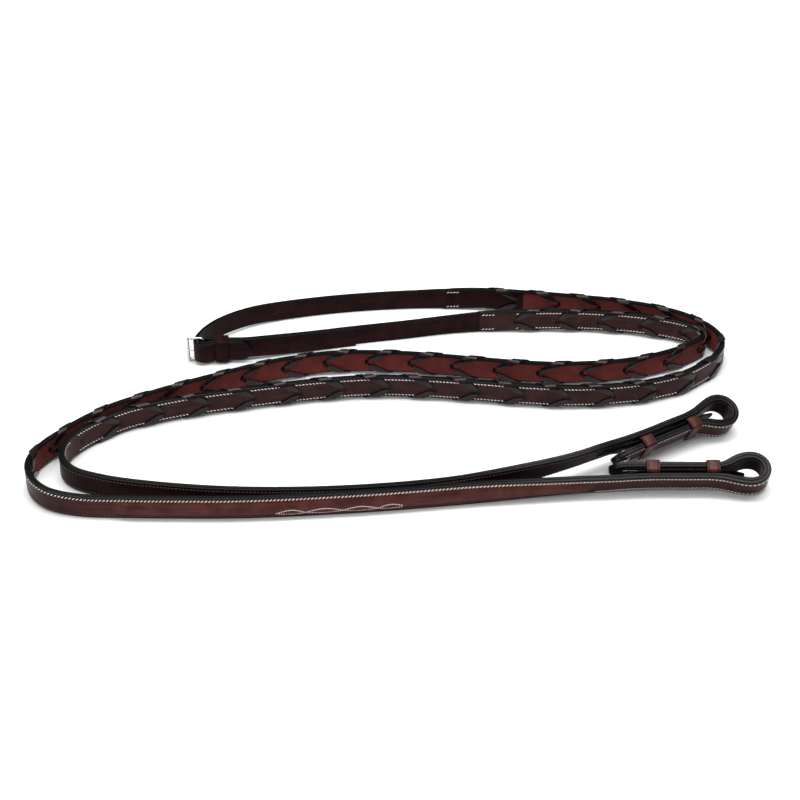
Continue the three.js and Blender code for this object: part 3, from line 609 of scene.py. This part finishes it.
LACE_EDGE = 0.0067  # where the lace starts to turn over the strap's edge
LACE_TURN = 0.0054  # its way round the edge
LACE_SPAN = 2 * LACE_EDGE + LACE_TURN  # its way from the middle of one face to the middle of the other
LACE_START = 0.0013
LACE_HALF = 0.0022
LACE_THICKNESS = 0.0011


def edge_crossings(rein):
    return (rein.slits[:-1] + rein.slits[1:]) / 2


def nearest_gap(s, places):
    return np.abs(np.asarray(s)[..., None] - places).min(-1)


def laced_half(rein, s):
    """The laces pull the strap's edges in a little where they cross them."""
    pull, reach = 0.0004, 0.005
    return HALF_WIDTH - pull * np.exp(-((nearest_gap(s, edge_crossings(rein)) / reach) ** 2))


def slit_dent(rein, sign):
    """The face sinks at each slit, where the laces pass through."""
    depth, length, height = 0.0011, 0.0014, 0.0028

    def shape(s, v):
        near = nearest_gap(s, rein.slits)
        dent = np.exp(-((near / length) ** 2)) * (1 - smoothstep(np.abs(v), 0.6 * height, height))
        return sign * depth * dent

    return shape


def painted_slit_shade(rein):
    """Painted shade: a dark patch at the mouth of each slit, standing for the shade inside the opening."""
    length, height = 0.0016, 0.0026

    def slit_shade(s, v):
        return 1 - smoothstep(np.hypot(nearest_gap(s, rein.slits) / length, v / height), 0.75, 1.1)

    return slit_shade


SLIT_GAPS = (-0.0024, -0.0016, -0.0008, 0, 0.0008, 0.0016, 0.0024)


def slit_stations(rein):
    return [slit + gap for slit in rein.slits for gap in SLIT_GAPS]


def ridge_share(rein, s):
    up = smoothstep(s, rein.ridge_start, rein.ridge_start + RIDGE_RAMP)
    return up * (1 - smoothstep(s, rein.ridge_end - RIDGE_RAMP, rein.ridge_end))


def ridge_height(v):
    return np.cos(math.pi / 2 * np.clip(np.abs(v) / RIDGE_HALF, 0, 1) ** 1.6)


def ridge_shape(rein):
    def shape(s, v):
        return -RIDGE_RISE * ridge_share(rein, s) * ridge_height(v)

    return shape


def warm_share(rein, s):
    """Line 1 turns from the grip's colour to a warmer one, up to the end of its ridge."""
    rise = smoothstep(s, rein.split - 0.02, rein.split + 0.03)
    return rise * (1 - smoothstep(s, rein.ridge_end - 0.014, rein.ridge_end + 0.004))


ROUND_TIP_LENGTH = 0.009
BUTT_LENGTH = 0.0003  # over which the outer face steps down behind the grip leather
LAP_FACE = 0.00195
RETURN_PARTING = 0.028  # from the return layer's parting to the strap's full thickness


def centre_layer(rein, s):
    """One stretch of the single-ply centre strap: its skin and its middle line."""
    route = rein.route
    half = lerp(CENTRE_HALF_WIDTH, HALF_WIDTH, smoothstep(s, rein.lap - 0.025, rein.lap))
    if rein.return_end is None:
        half = tip_half(half, s, ROUND_TIP_LENGTH, 0.0005)
        thick = np.full(len(s), CENTRE_STRAP_HALF)
    else:
        past_return = smoothstep(s, rein.return_end, rein.return_end + 0.006)
        thick = lerp(RETURN_HALF, CENTRE_STRAP_HALF, past_return)
    low = lerp(-thick, PLY_LINE, smoothstep(s, rein.lap - BUTT_LENGTH, rein.lap))
    high = lerp(thick, LAP_FACE, smoothstep(s, rein.lap - 0.0025, rein.lap))
    radius = 0.0005
    v, m, _ = ply_outline(half, low, high, radius, radius)
    along = np.broadcast_to(s[:, None], v.shape)
    fields = {"along": along, "across": v, "edge": edge_field(v, half)}
    return loft(route.place(along, v, m), fields), route.place(s, 0, (low + high) / 2)


def centre_strap(rein):
    """The centre strap. The buckle rein's return layer is a piece of its own, parted under the keeper."""
    route, name, slot = rein.route, f"{rein.name}_centre_strap", "plain_leather"
    lap_end = rein.slits[1] + 0.003
    start, extra = 0.0, tip_stations(0, 1, ROUND_TIP_LENGTH)
    if rein.return_end is not None:
        start, extra = rein.return_end - RETURN_PARTING, []
        back, _ = centre_layer(rein, route.stations(0, start - 0.0001))
        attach(piece(f"{rein.name}_return_layer", back, PLAIN, [name]), "straps")
    extra = [*extra, *slit_stations(rein), rein.lap - BUTT_LENGTH, rein.lap]
    skin, line = centre_layer(rein, route.stations(start, lap_end, extra=extra))
    made = piece(f"{name}_leather", skin, PLAIN, [name])
    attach(made, "straps")


def grip_plies(rein):
    route = rein.route
    s = route.stations(rein.lap, rein.seam, extra=slit_stations(rein))
    half = laced_half(rein, s)
    face = lerp(-CENTRE_STRAP_HALF, -FACE, smoothstep(s, rein.lap, rein.lap + SKIVE_LENGTH))
    # The grain ply gets painted shade at the slit mouths.
    skin = ply(route, s, half, face, -PLY_LINE, True, slit_dent(rein, 1), slit_shade=painted_slit_shade(rein))
    outer = piece(f"{rein.name}_grip_outer", skin, GRAIN, [f"{rein.name}_grip_leather"])
    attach(outer, "straps")
    route.place(s, 0, -FACE / 2)
    s = route.stations(rein.slits[1] + 0.0033, rein.seam, extra=slit_stations(rein))
    half = laced_half(rein, s)
    # The lining ply gets painted shade at the slit mouths.
    skin = ply(route, s, half, PLY_LINE, FACE, False, slit_dent(rein, -1), slit_shade=painted_slit_shade(rein))
    inner = piece(f"{rein.name}_grip_inner", skin, LINING, [f"{rein.name}_grip_lining"])
    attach(inner, "straps")


def flex(rein, made):
    """Bakes the piece's transform into its mesh."""
    middle = rein.route.place(rein.split, 0, 0)
    ahead = rein.route.heading(np.array(rein.split))
    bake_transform(made)


def loop_swell(rein, s):
    """The leather is a little thicker where it turns round the bit ring."""
    swell, ramp = 0.0005, 0.012
    start, end = rein.route.fork + 0.074, rein.route.length - 0.07
    return swell * smoothstep(s, start, start + ramp) * (1 - smoothstep(s, end - ramp, end))


def line_plies(rein):
    """The two layers of line 1, round the loop and back to the billet's tip."""
    route = rein.route
    extra = tip_stations(route.length, -1, BILLET_TIP_LENGTH)
    s = route.stations(rein.seam, route.length, extra=extra)
    half = billet_half(rein, s)
    face = FACE + loop_swell(rein, s)
    skin = ply(route, s, half, -face, -PLY_LINE, True, ridge_shape(rein), warm_share(rein, s)[:, None])
    outer = piece(f"{rein.name}_line_outer", skin, GRAIN,
                  [f"{rein.name}_bit_leather", f"{rein.name}_raised_core"])
    inner = piece(f"{rein.name}_line_inner", ply(route, s, half, PLY_LINE, face, False), PLAIN,
                  [f"{rein.name}_bit_lining", f"{rein.name}_bend_lining"])
    flex(rein, outer)
    flex(rein, inner)
    route.place(s, 0, -FACE / 2)


# ---------- laces ----------

LACE_CROWN = 1.04
LACE_SECTION = np.array([(-0.9, 0.9), (-0.55, 1.0), (0, LACE_CROWN), (0.55, 1.0), (0.9, 0.9), (1, 0.5),
                         (0.9, 0.06), (0.4, 0), (-0.4, 0), (-0.9, 0.06), (-1, 0.5)])


def over_edge(u, height):
    """The strap's section unrolled: u from the middle of the grain face, and height over its surface."""
    turn = np.clip((u - LACE_EDGE) / LACE_TURN, 0, 1) * math.pi
    past = np.clip(u - LACE_EDGE - LACE_TURN, 0, None)
    v = np.minimum(u, LACE_EDGE) - past + (HALF_WIDTH - LACE_EDGE + height) * np.sin(turn)
    return v, -(FACE + height) * np.cos(turn)


def lace(rein, side):
    """One lace, wound through the slits and over one edge of the strap."""
    steps = np.concatenate([np.linspace(0, 0.12, 8), np.linspace(0.15, 0.85, 29), np.linspace(0.88, 1, 8)])
    rings, along, across = [], [], []
    for k, (first, last) in enumerate(zip(rein.slits, rein.slits[1:])):
        sign = 1 if k % 2 == 0 else -1
        s = lerp(first, last, steps)[:, None]
        u = lerp(LACE_START, LACE_SPAN - LACE_START, steps)[:, None]
        slope = math.atan2(LACE_SPAN - 2 * LACE_START, last - first)
        from_slit = np.minimum(steps, 1 - steps)[:, None] * (last - first)
        half = lerp(0.0011, LACE_HALF, smoothstep(from_slit, 0.001, 0.006))
        dive = smoothstep(from_slit, 0, 0.0022)
        q, h = sign * LACE_SECTION[:, 0], LACE_SECTION[:, 1]
        if sign < 0:
            h = LACE_CROWN - h
        h = lerp(-FACE - LACE_THICKNESS * 0.5 + h * LACE_THICKNESS, 0.00004 + h * LACE_THICKNESS, dive)
        shifted_s = s - half * q * math.sin(slope)
        shifted_u = u + half * q * math.cos(slope)
        v, m = over_edge(shifted_u, h)
        rings.append(rein.route.place(shifted_s, side * v, m))
        along.append(np.broadcast_to(s, v.shape) + 0 * v)
        across.append(half * q + 0 * v)
    fields = {"along": np.vstack(along), "across": np.vstack(across)}
    name = "upper" if side > 0 else "lower"
    made = piece(f"{rein.name}_{name}_lacing", loft(np.vstack(rings), fields), LACE,
                 [f"{rein.name}_{name}_lace"])
    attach(made, "straps")


# ---------- stitching ----------

STITCH_PITCH = 0.0024
STITCH_LENGTH = 0.0017
STITCH_RADIUS = 0.00034
STITCH_LIFT = 0.0001  # of a stitch's middle over the leather


def stitch_template():
    """A short plump thread: rings of (along, across, out), from -1 to 1."""
    ends = np.array([-1, -0.88, -0.6, 0, 0.6, 0.88, 1])
    size = np.array([0.15, 0.55, 0.88, 1, 0.88, 0.55, 0.15])
    turns = np.arange(6) * math.pi / 3
    across, out = size[:, None] * np.cos(turns), size[:, None] * np.sin(turns)
    points, faces, _ = loft(np.stack([ends[:, None] + 0 * turns, across, out], -1))
    return points, faces


STITCH_POINTS, STITCH_FACES = stitch_template()


def stitches(route, s, v, out, slope=0.0, slant=0.0003, length=STITCH_LENGTH, radius=STITCH_RADIUS):
    """A thread at each (s, v), on the face at m = out; the slope is how v changes along s."""
    values = np.broadcast_arrays(s, v, out, slope)
    s, v, out, slope = (np.asarray(value, float)[:, None] for value in values)
    along, across, up = STITCH_POINTS.T
    placed = route.place(s + along * length / 2, v + across * radius + along * (slant + slope * length / 2),
                         out + up * radius)
    count = len(STITCH_POINTS)
    faces = [[base + corner for corner in face]
             for base in range(0, count * len(s), count) for face in STITCH_FACES]
    return placed.reshape(-1, 3), faces, {}


def even(start, end, pitch=STITCH_PITCH):
    return start + pitch * np.arange(int((end - start) / pitch))


def clear_of_laces(rein, s, v):
    """Only the places on the grain face between the laces."""
    slope = (LACE_SPAN - 2 * LACE_START) / LACE_PITCH
    centre = (np.abs(v) - LACE_START) / slope
    half = LACE_HALF / math.sin(math.atan(slope)) + 0.0006
    gap = s[:, None] - rein.slits[:-1] - centre
    return s[(np.abs(gap) > half).all(1)]


ROW = 0.0061
HOOK_STRIP_START = 0.028  # the hook's strip lies against the lining between these, past the fork
HOOK_STRIP_END = 0.088


def grip_stitching(rein):
    route = rein.route
    parts = []
    for v in (ROW, -ROW):
        splice = even(rein.lap + 0.0028, rein.lap + 0.0135)
        face = lerp(CENTRE_STRAP_HALF, FACE, smoothstep(splice, rein.lap, rein.lap + SKIVE_LENGTH))
        parts.append(stitches(route, splice, v, -face - STITCH_LIFT))
        parts.append(stitches(route, splice, v, LAP_FACE + STITCH_LIFT))
        row = clear_of_laces(rein, even(rein.slits[0] + 0.002, rein.seam), v)
        parts.append(stitches(route, row, v, -FACE - STITCH_LIFT))
    made = piece(f"{rein.name}_grip_stitching", merged(parts), THREAD)
    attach(made, "straps")


def line_stitching(rein):
    """Line 1's bold upper row, its fainter lower row, and dark rows on the lining."""
    route, slot = rein.route, "grain_leather"
    inset = HALF_WIDTH - ROW
    bold = {"slant": 0.0006, "radius": 0.00042}

    def row(s, side, **options):
        v = side * (billet_half(rein, s) - inset)
        lift = RIDGE_RISE * ridge_share(rein, s) * ridge_height(v)
        return stitches(route, s, v, -FACE - lift - loop_swell(rein, s) - STITCH_LIFT, **options)

    s = even(rein.seam + 0.008, route.length - 0.006)
    on_ridge = s < rein.ridge_end
    parts = [row(s[on_ridge], 1, **bold), row(s[~on_ridge], 1), row(s[~on_ridge], -1)]
    flex(rein, piece(f"{rein.name}_line_stitching", merged(parts), THREAD))
    flex(rein, piece(f"{rein.name}_line_lower_stitching", row(s[on_ridge], -1), DARK_THREAD))
    s = s[(s < route.fork + HOOK_STRIP_START) | (s > route.fork + HOOK_STRIP_END)]
    parts = [stitches(route, s, side * (billet_half(rein, s) - inset), FACE + loop_swell(rein, s) + 0.00005)
             for side in (1, -1)]
    flex(rein, piece(f"{rein.name}_line_back_stitching", merged(parts), DARK_THREAD))


FANCY_NODES = (-0.0785, -0.0604, -0.0365, -0.0141, 0.0038)
FANCY_ROW = -0.003
FANCY_SWING = 0.0025


def fancy_stitching(rein):
    """Two crossing waves of small stitches along the raised part."""
    route = rein.route
    nodes = np.array([route.nearest(x, -0.1265) for x in FANCY_NODES])
    s = even(nodes[0], nodes[-1], 0.0015)
    phase = math.pi * np.interp(s, nodes, np.arange(len(nodes)))
    rate = math.pi / np.interp(s, (nodes[:-1] + nodes[1:]) / 2, np.diff(nodes))
    parts = []
    for side in (1, -1):
        v = FANCY_ROW + side * FANCY_SWING * np.sin(phase)
        slope = side * FANCY_SWING * rate * np.cos(phase)
        lift = RIDGE_RISE * ridge_share(rein, s) * ridge_height(v)
        parts.append(stitches(route, s, v, -FACE - lift - STITCH_LIFT, slope, 0.0, 0.0011))
    made = piece(f"{rein.name}_fancy_stitching", merged(parts), THREAD)
    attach(made, f"{rein.name}_bit_end")


# ---------- bit ends ----------


def rounded_section(half_width, half_thickness, corner=4):
    """A flat bar's section with rounded corners: rows of (across, through)."""
    turns = np.linspace(0, math.pi / 2, corner + 1)
    radius = 0.9 * half_thickness
    out = []
    for k, (a, b) in enumerate(((1, 1), (-1, 1), (-1, -1), (1, -1))):
        angles = turns + k * math.pi / 2
        out.append(np.stack([a * (half_width - radius) + radius * np.cos(angles),
                             b * (half_thickness - radius) + radius * np.sin(angles)], -1))
    return np.vstack(out)


def hook_base(rein):
    """The strip under the stud, sewn to the lining, with its pointed end in the loop."""
    line = spline([(x, y, 0) for x, y in HOOK_BASE_PATH], 14)
    ahead = np.gradient(line, axis=0)
    ahead /= np.linalg.norm(ahead, axis=1, keepdims=True)
    last = line[-1, 0]
    half = lerp(0.0018, 0.007, np.clip((last - line[:, 0]) / 0.01, 0, 1) ** 0.8)
    half = np.minimum(half, lerp(0.0006, 0.007, smoothstep(line[:, 0], HOOK_BASE_PATH[0][0], 0.03)))
    unit = rounded_section(1.0, 0.12)
    across = unit[:, 0] * half[:, None]
    through = unit[:, 1] / 0.12 * 0.0006 + 0 * across
    x, y = line[:, :1] - ahead[:, 1:2] * through, line[:, 1:2] + ahead[:, :1] * through
    rings = rein.bit_end(x, y, across)
    fields = {"along": line[:, :1] + 0 * across, "across": across,
              "edge": smoothstep(np.abs(across), half[:, None] - 0.001, half[:, None] - 0.0005)}
    made = piece(f"{rein.name}_hook_strip", loft(rings, fields), PLAIN,
                 [f"{rein.name}_hook_base"])
    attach(made, f"{rein.name}_bit_end")


def bar(points, section):
    """A bar of one section (rows of side and up) along a path in x, y with z as the side: local points."""
    points = np.array(points, float)
    ahead = np.gradient(points, axis=0)
    ahead /= np.linalg.norm(ahead, axis=1, keepdims=True)
    up = np.stack([-ahead[:, 1], ahead[:, 0], 0 * ahead[:, 0]], -1)
    side = np.cross(ahead, up)
    return points[:, None] + section[None, :, :1] * side[:, None] + section[None, :, 1:] * up[:, None]


def circle(radius, count=12):
    turns = np.arange(count) * 2 * math.pi / count
    return radius * np.stack([np.cos(turns), np.sin(turns)], -1)


def tube(points, radius, count=12):
    """A round wire through points, with its section carried along without twist."""
    points = np.array(points, float)
    ahead = np.gradient(points, axis=0)
    ahead /= np.linalg.norm(ahead, axis=1, keepdims=True)
    up = np.cross(ahead[0], [0.3, 0.9, 0.2])
    rings = []
    ring = circle(1.0, count)
    for point, way in zip(points, ahead):
        up = up - way * (up @ way)
        up /= np.linalg.norm(up)
        side = np.cross(way, up)
        rings.append(point + radius * (ring[:, :1] * up + ring[:, 1:] * side))
    return np.array(rings)


def local_skin(rein, rings):
    return loft(rein.bit_end(rings[..., 0], rings[..., 1], rings[..., 2]))


def hook_stud(rein):
    """The plate under the billet, its wire eye, and the hook that comes up through the billet's slot."""
    plate_line = [(x, 0.0054, 0) for x in np.linspace(0.018, 0.062, 12)]
    plate = bar(plate_line, rounded_section(0.004, 0.00038))
    hook_line = spline([(0.0232, 0.0056, 0), (0.0226, 0.008, 0), (0.0215, 0.0102, 0), (0.019, 0.0114, 0),
                        (0.0155, 0.0115, 0), (0.0122, 0.0109, 0)], 6)
    hook = bar(hook_line, rounded_section(0.0016, 0.00055))
    eye = tube(spline([(0.051, 0.0054, -0.0035), (0.051, 0.0054, -0.008), (0.0525, 0.0054, -0.0104),
                       (0.056, 0.0054, -0.0112), (0.0595, 0.0054, -0.0104), (0.061, 0.0054, -0.008),
                       (0.061, 0.0054, -0.0035)], 5), 0.0005)
    skin = merged([local_skin(rein, rings) for rings in (plate, hook, eye)])
    made = piece(f"{rein.name}_hook", skin, STEEL, [f"{rein.name}_hook_stud"])
    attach(made, f"{rein.name}_bit_end")


def rounded_loop(low, high, bottom, top, radius, per_corner=7, per_side=5):
    """A closed rounded rectangle in the y-z plane: points and their outward directions."""
    corners = [(high - radius, top - radius, 0), (low + radius, top - radius, 90),
               (low + radius, bottom + radius, 180), (high - radius, bottom + radius, 270)]
    points, out = [], []
    for y, z, start in corners:
        for turn in np.radians(np.linspace(start, start + 90, per_corner)):
            way = np.array([math.cos(turn), math.sin(turn)])
            points.append(np.array([y, z]) + radius * way)
            out.append(way)
    points, out = np.array(points), np.array(out)
    filled_points, filled_out = [], []
    for i in range(len(points)):
        following = (i + 1) % len(points)
        count = per_side if i % per_corner == per_corner - 1 else 1
        for share in np.arange(count) / count:
            filled_points.append(lerp(points[i], points[following], share))
            way = lerp(out[i], out[following], share)
            filled_out.append(way / np.linalg.norm(way))
    return np.array(filled_points), np.array(filled_out)


def keeper_skin(place, opening, middle):
    """A leather keeper round an opening; its outer face has a crease near each edge."""
    wall = 0.0009
    points, out = rounded_loop(*opening, 0.0006)
    half = KEEPER_LENGTH / 2
    shares = [0.4, 0.64, 0.7, 0.76, 0.88, 0.97, 1]
    heights = [1.0, 0.95, 0.72, 0.95, 0.95, 0.72, 0.35]
    across = np.array([*(-share for share in shares[::-1]), 0, *shares]) * half
    outside = np.stack([across, [*heights[::-1], 1.02, *heights]], -1)
    inside = np.stack([across[[13, 7, 1]], [0.02, 0, 0.02]], -1)
    section = np.concatenate([outside, inside])
    x = middle + section[:, 0] + 0 * points[:, :1]
    y = points[:, :1] + out[:, :1] * section[:, 1] * wall
    z = points[:, 1:] + out[:, 1:] * section[:, 1] * wall
    way = np.concatenate([[0], np.cumsum(np.linalg.norm(np.diff(points, axis=0), axis=1))])
    edge = 1 - smoothstep(section[:, 1], 0.6, 0.92)
    fields = {"along": way[:, None] + 0 * x, "across": section[:, 0] + 0 * x, "edge": edge + 0 * x}
    return loft(place(x, y, z), fields, closed=True)


KEEPER_LENGTH = 0.009
KEEPER_PLACES = {"outer_keeper": 0.0375, "inner_keeper": 0.0765}
# The openings of the keepers: low and high side, bottom and top.
BIT_KEEPER_OPENING = (0.00325, 0.0106, -0.0079, 0.0079)
CENTRE_KEEPER_OPENING = (0.0451, 0.0546, 0.0021, 0.0179)
CENTRE_KEEPER_PLACE = -0.1275


def bit_keepers(rein):
    for name, middle in KEEPER_PLACES.items():
        skin = keeper_skin(rein.bit_end, BIT_KEEPER_OPENING, middle)
        made = piece(f"{rein.name}_{name}_band", skin, KEEPER, [f"{rein.name}_{name}"])
        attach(made, f"{rein.name}_{name}")


# ---------- centre buckle ----------

PRONG_RADIUS = 0.0007
PRONG_EYE_RADIUS = 0.0019


def centre_keeper():
    def place(x, y, z):
        return np.stack([x, y, z], -1) - FOOTPRINT_CENTRE

    skin = keeper_skin(place, CENTRE_KEEPER_OPENING, CENTRE_KEEPER_PLACE)
    made = piece("centre_keeper_band", skin, PLAIN, ["centre_keeper"])
    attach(made, "centre_keeper")


def centre_buckle():
    x, y, z = BUCKLE["x"], BUCKLE["y"], BUCKLE["z"]
    half = BUCKLE["half_height"]
    points, _ = rounded_loop(x - BUCKLE["outer_bar"], x, z - half, z + half, 0.002, 7, 8)
    line = np.stack([points[:, 0], 0 * points[:, 0] + y, points[:, 1]], -1) - FOOTPRINT_CENTRE
    ahead = np.roll(line, -1, axis=0) - np.roll(line, 1, axis=0)
    ahead /= np.linalg.norm(ahead, axis=1, keepdims=True)
    out = np.cross(ahead, [0, 1.0, 0])
    ring = circle(BAR_RADIUS, 14)
    rings = line[:, None] + ring[None, :, :1] * out[:, None] + ring[None, :, 1:] * np.array([0, 1.0, 0])
    made = piece("centre_buckle_wire", loft(rings, closed=True), STEEL, ["centre_buckle_frame"])
    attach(made, "centre_buckle_frame")
    turns = np.linspace(math.pi * 0.9, -math.pi * 1.0, 26)
    eye = [(x + PRONG_EYE_RADIUS * math.cos(turn), y + PRONG_EYE_RADIUS * math.sin(turn), z)
           for turn in turns]
    tip = [(x - 0.005, y - 0.0019, z), (x - 0.009, y - 0.0018, z), (x - 0.0112, y - 0.0018, z),
           (x - 0.0124, y - 0.0016, z)]
    path = np.array(spline([*eye[2:20], *tip], 4)) - FOOTPRINT_CENTRE
    prong = piece("centre_buckle_tongue", loft(tube(path, PRONG_RADIUS)), STEEL,
                  ["centre_buckle_prong"])
    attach(prong, "centre_buckle_prong")


# ---------- stage ----------

# Each light's name, place, size and power.
LIGHTS = [("overhead", (0.1, 0.25, 1.7), (2.4, 1.3), 42), ("strip", (0.0, 0.02, 1.5), (2.4, 0.1), 9),
          ("front", (-0.9, -1.3, 1.3), (0.9, 0.9), 12)]
WORLD_STRENGTH = 0.24
FLOOR_REACH = 6.0


def make_stage():
    shader = Shader("floor")
    floor_material = shader.finish(Base_Color=(0.93, 0.935, 0.94, 1), Roughness=0.9)
    mesh = bpy.data.meshes.new("floor")
    corners = [(x * FLOOR_REACH, y * FLOOR_REACH, 0) for x, y in ((-1, -1), (1, -1), (1, 1), (-1, 1))]
    mesh.from_pydata(corners, [], [(0, 1, 2, 3)])
    mesh.materials.append(floor_material)
    floor = bpy.data.objects.new("floor", mesh)
    bpy.context.scene.collection.objects.link(floor)
    world = bpy.data.worlds.new("studio")
    world.use_nodes = True
    background = world.node_tree.nodes["Background"]
    background.inputs["Color"].default_value = (0.96, 0.98, 1, 1)
    background.inputs["Strength"].default_value = WORLD_STRENGTH
    bpy.context.scene.world = world
    bpy.context.scene.view_settings.view_transform = "Standard"
    for name, place, size, power in LIGHTS:
        data = bpy.data.lights.new(name, "AREA")
        data.shape = "RECTANGLE"
        data.size, data.size_y = size
        data.energy = power
        light = bpy.data.objects.new(name, data)
        light.location = place
        light.rotation_euler = (-Vector(place)).to_track_quat("-Z", "Y").to_euler()
        bpy.context.scene.collection.objects.link(light)


# ---------- build ----------

for rein in REINS:
    centre_strap(rein)
    grip_plies(rein)
    line_plies(rein)
    lace(rein, 1)
    lace(rein, -1)
    grip_stitching(rein)
    line_stitching(rein)
    hook_base(rein)
    hook_stud(rein)
    bit_keepers(rein)
fancy_stitching(REINS[0])
centre_keeper()
centre_buckle()
make_stage()
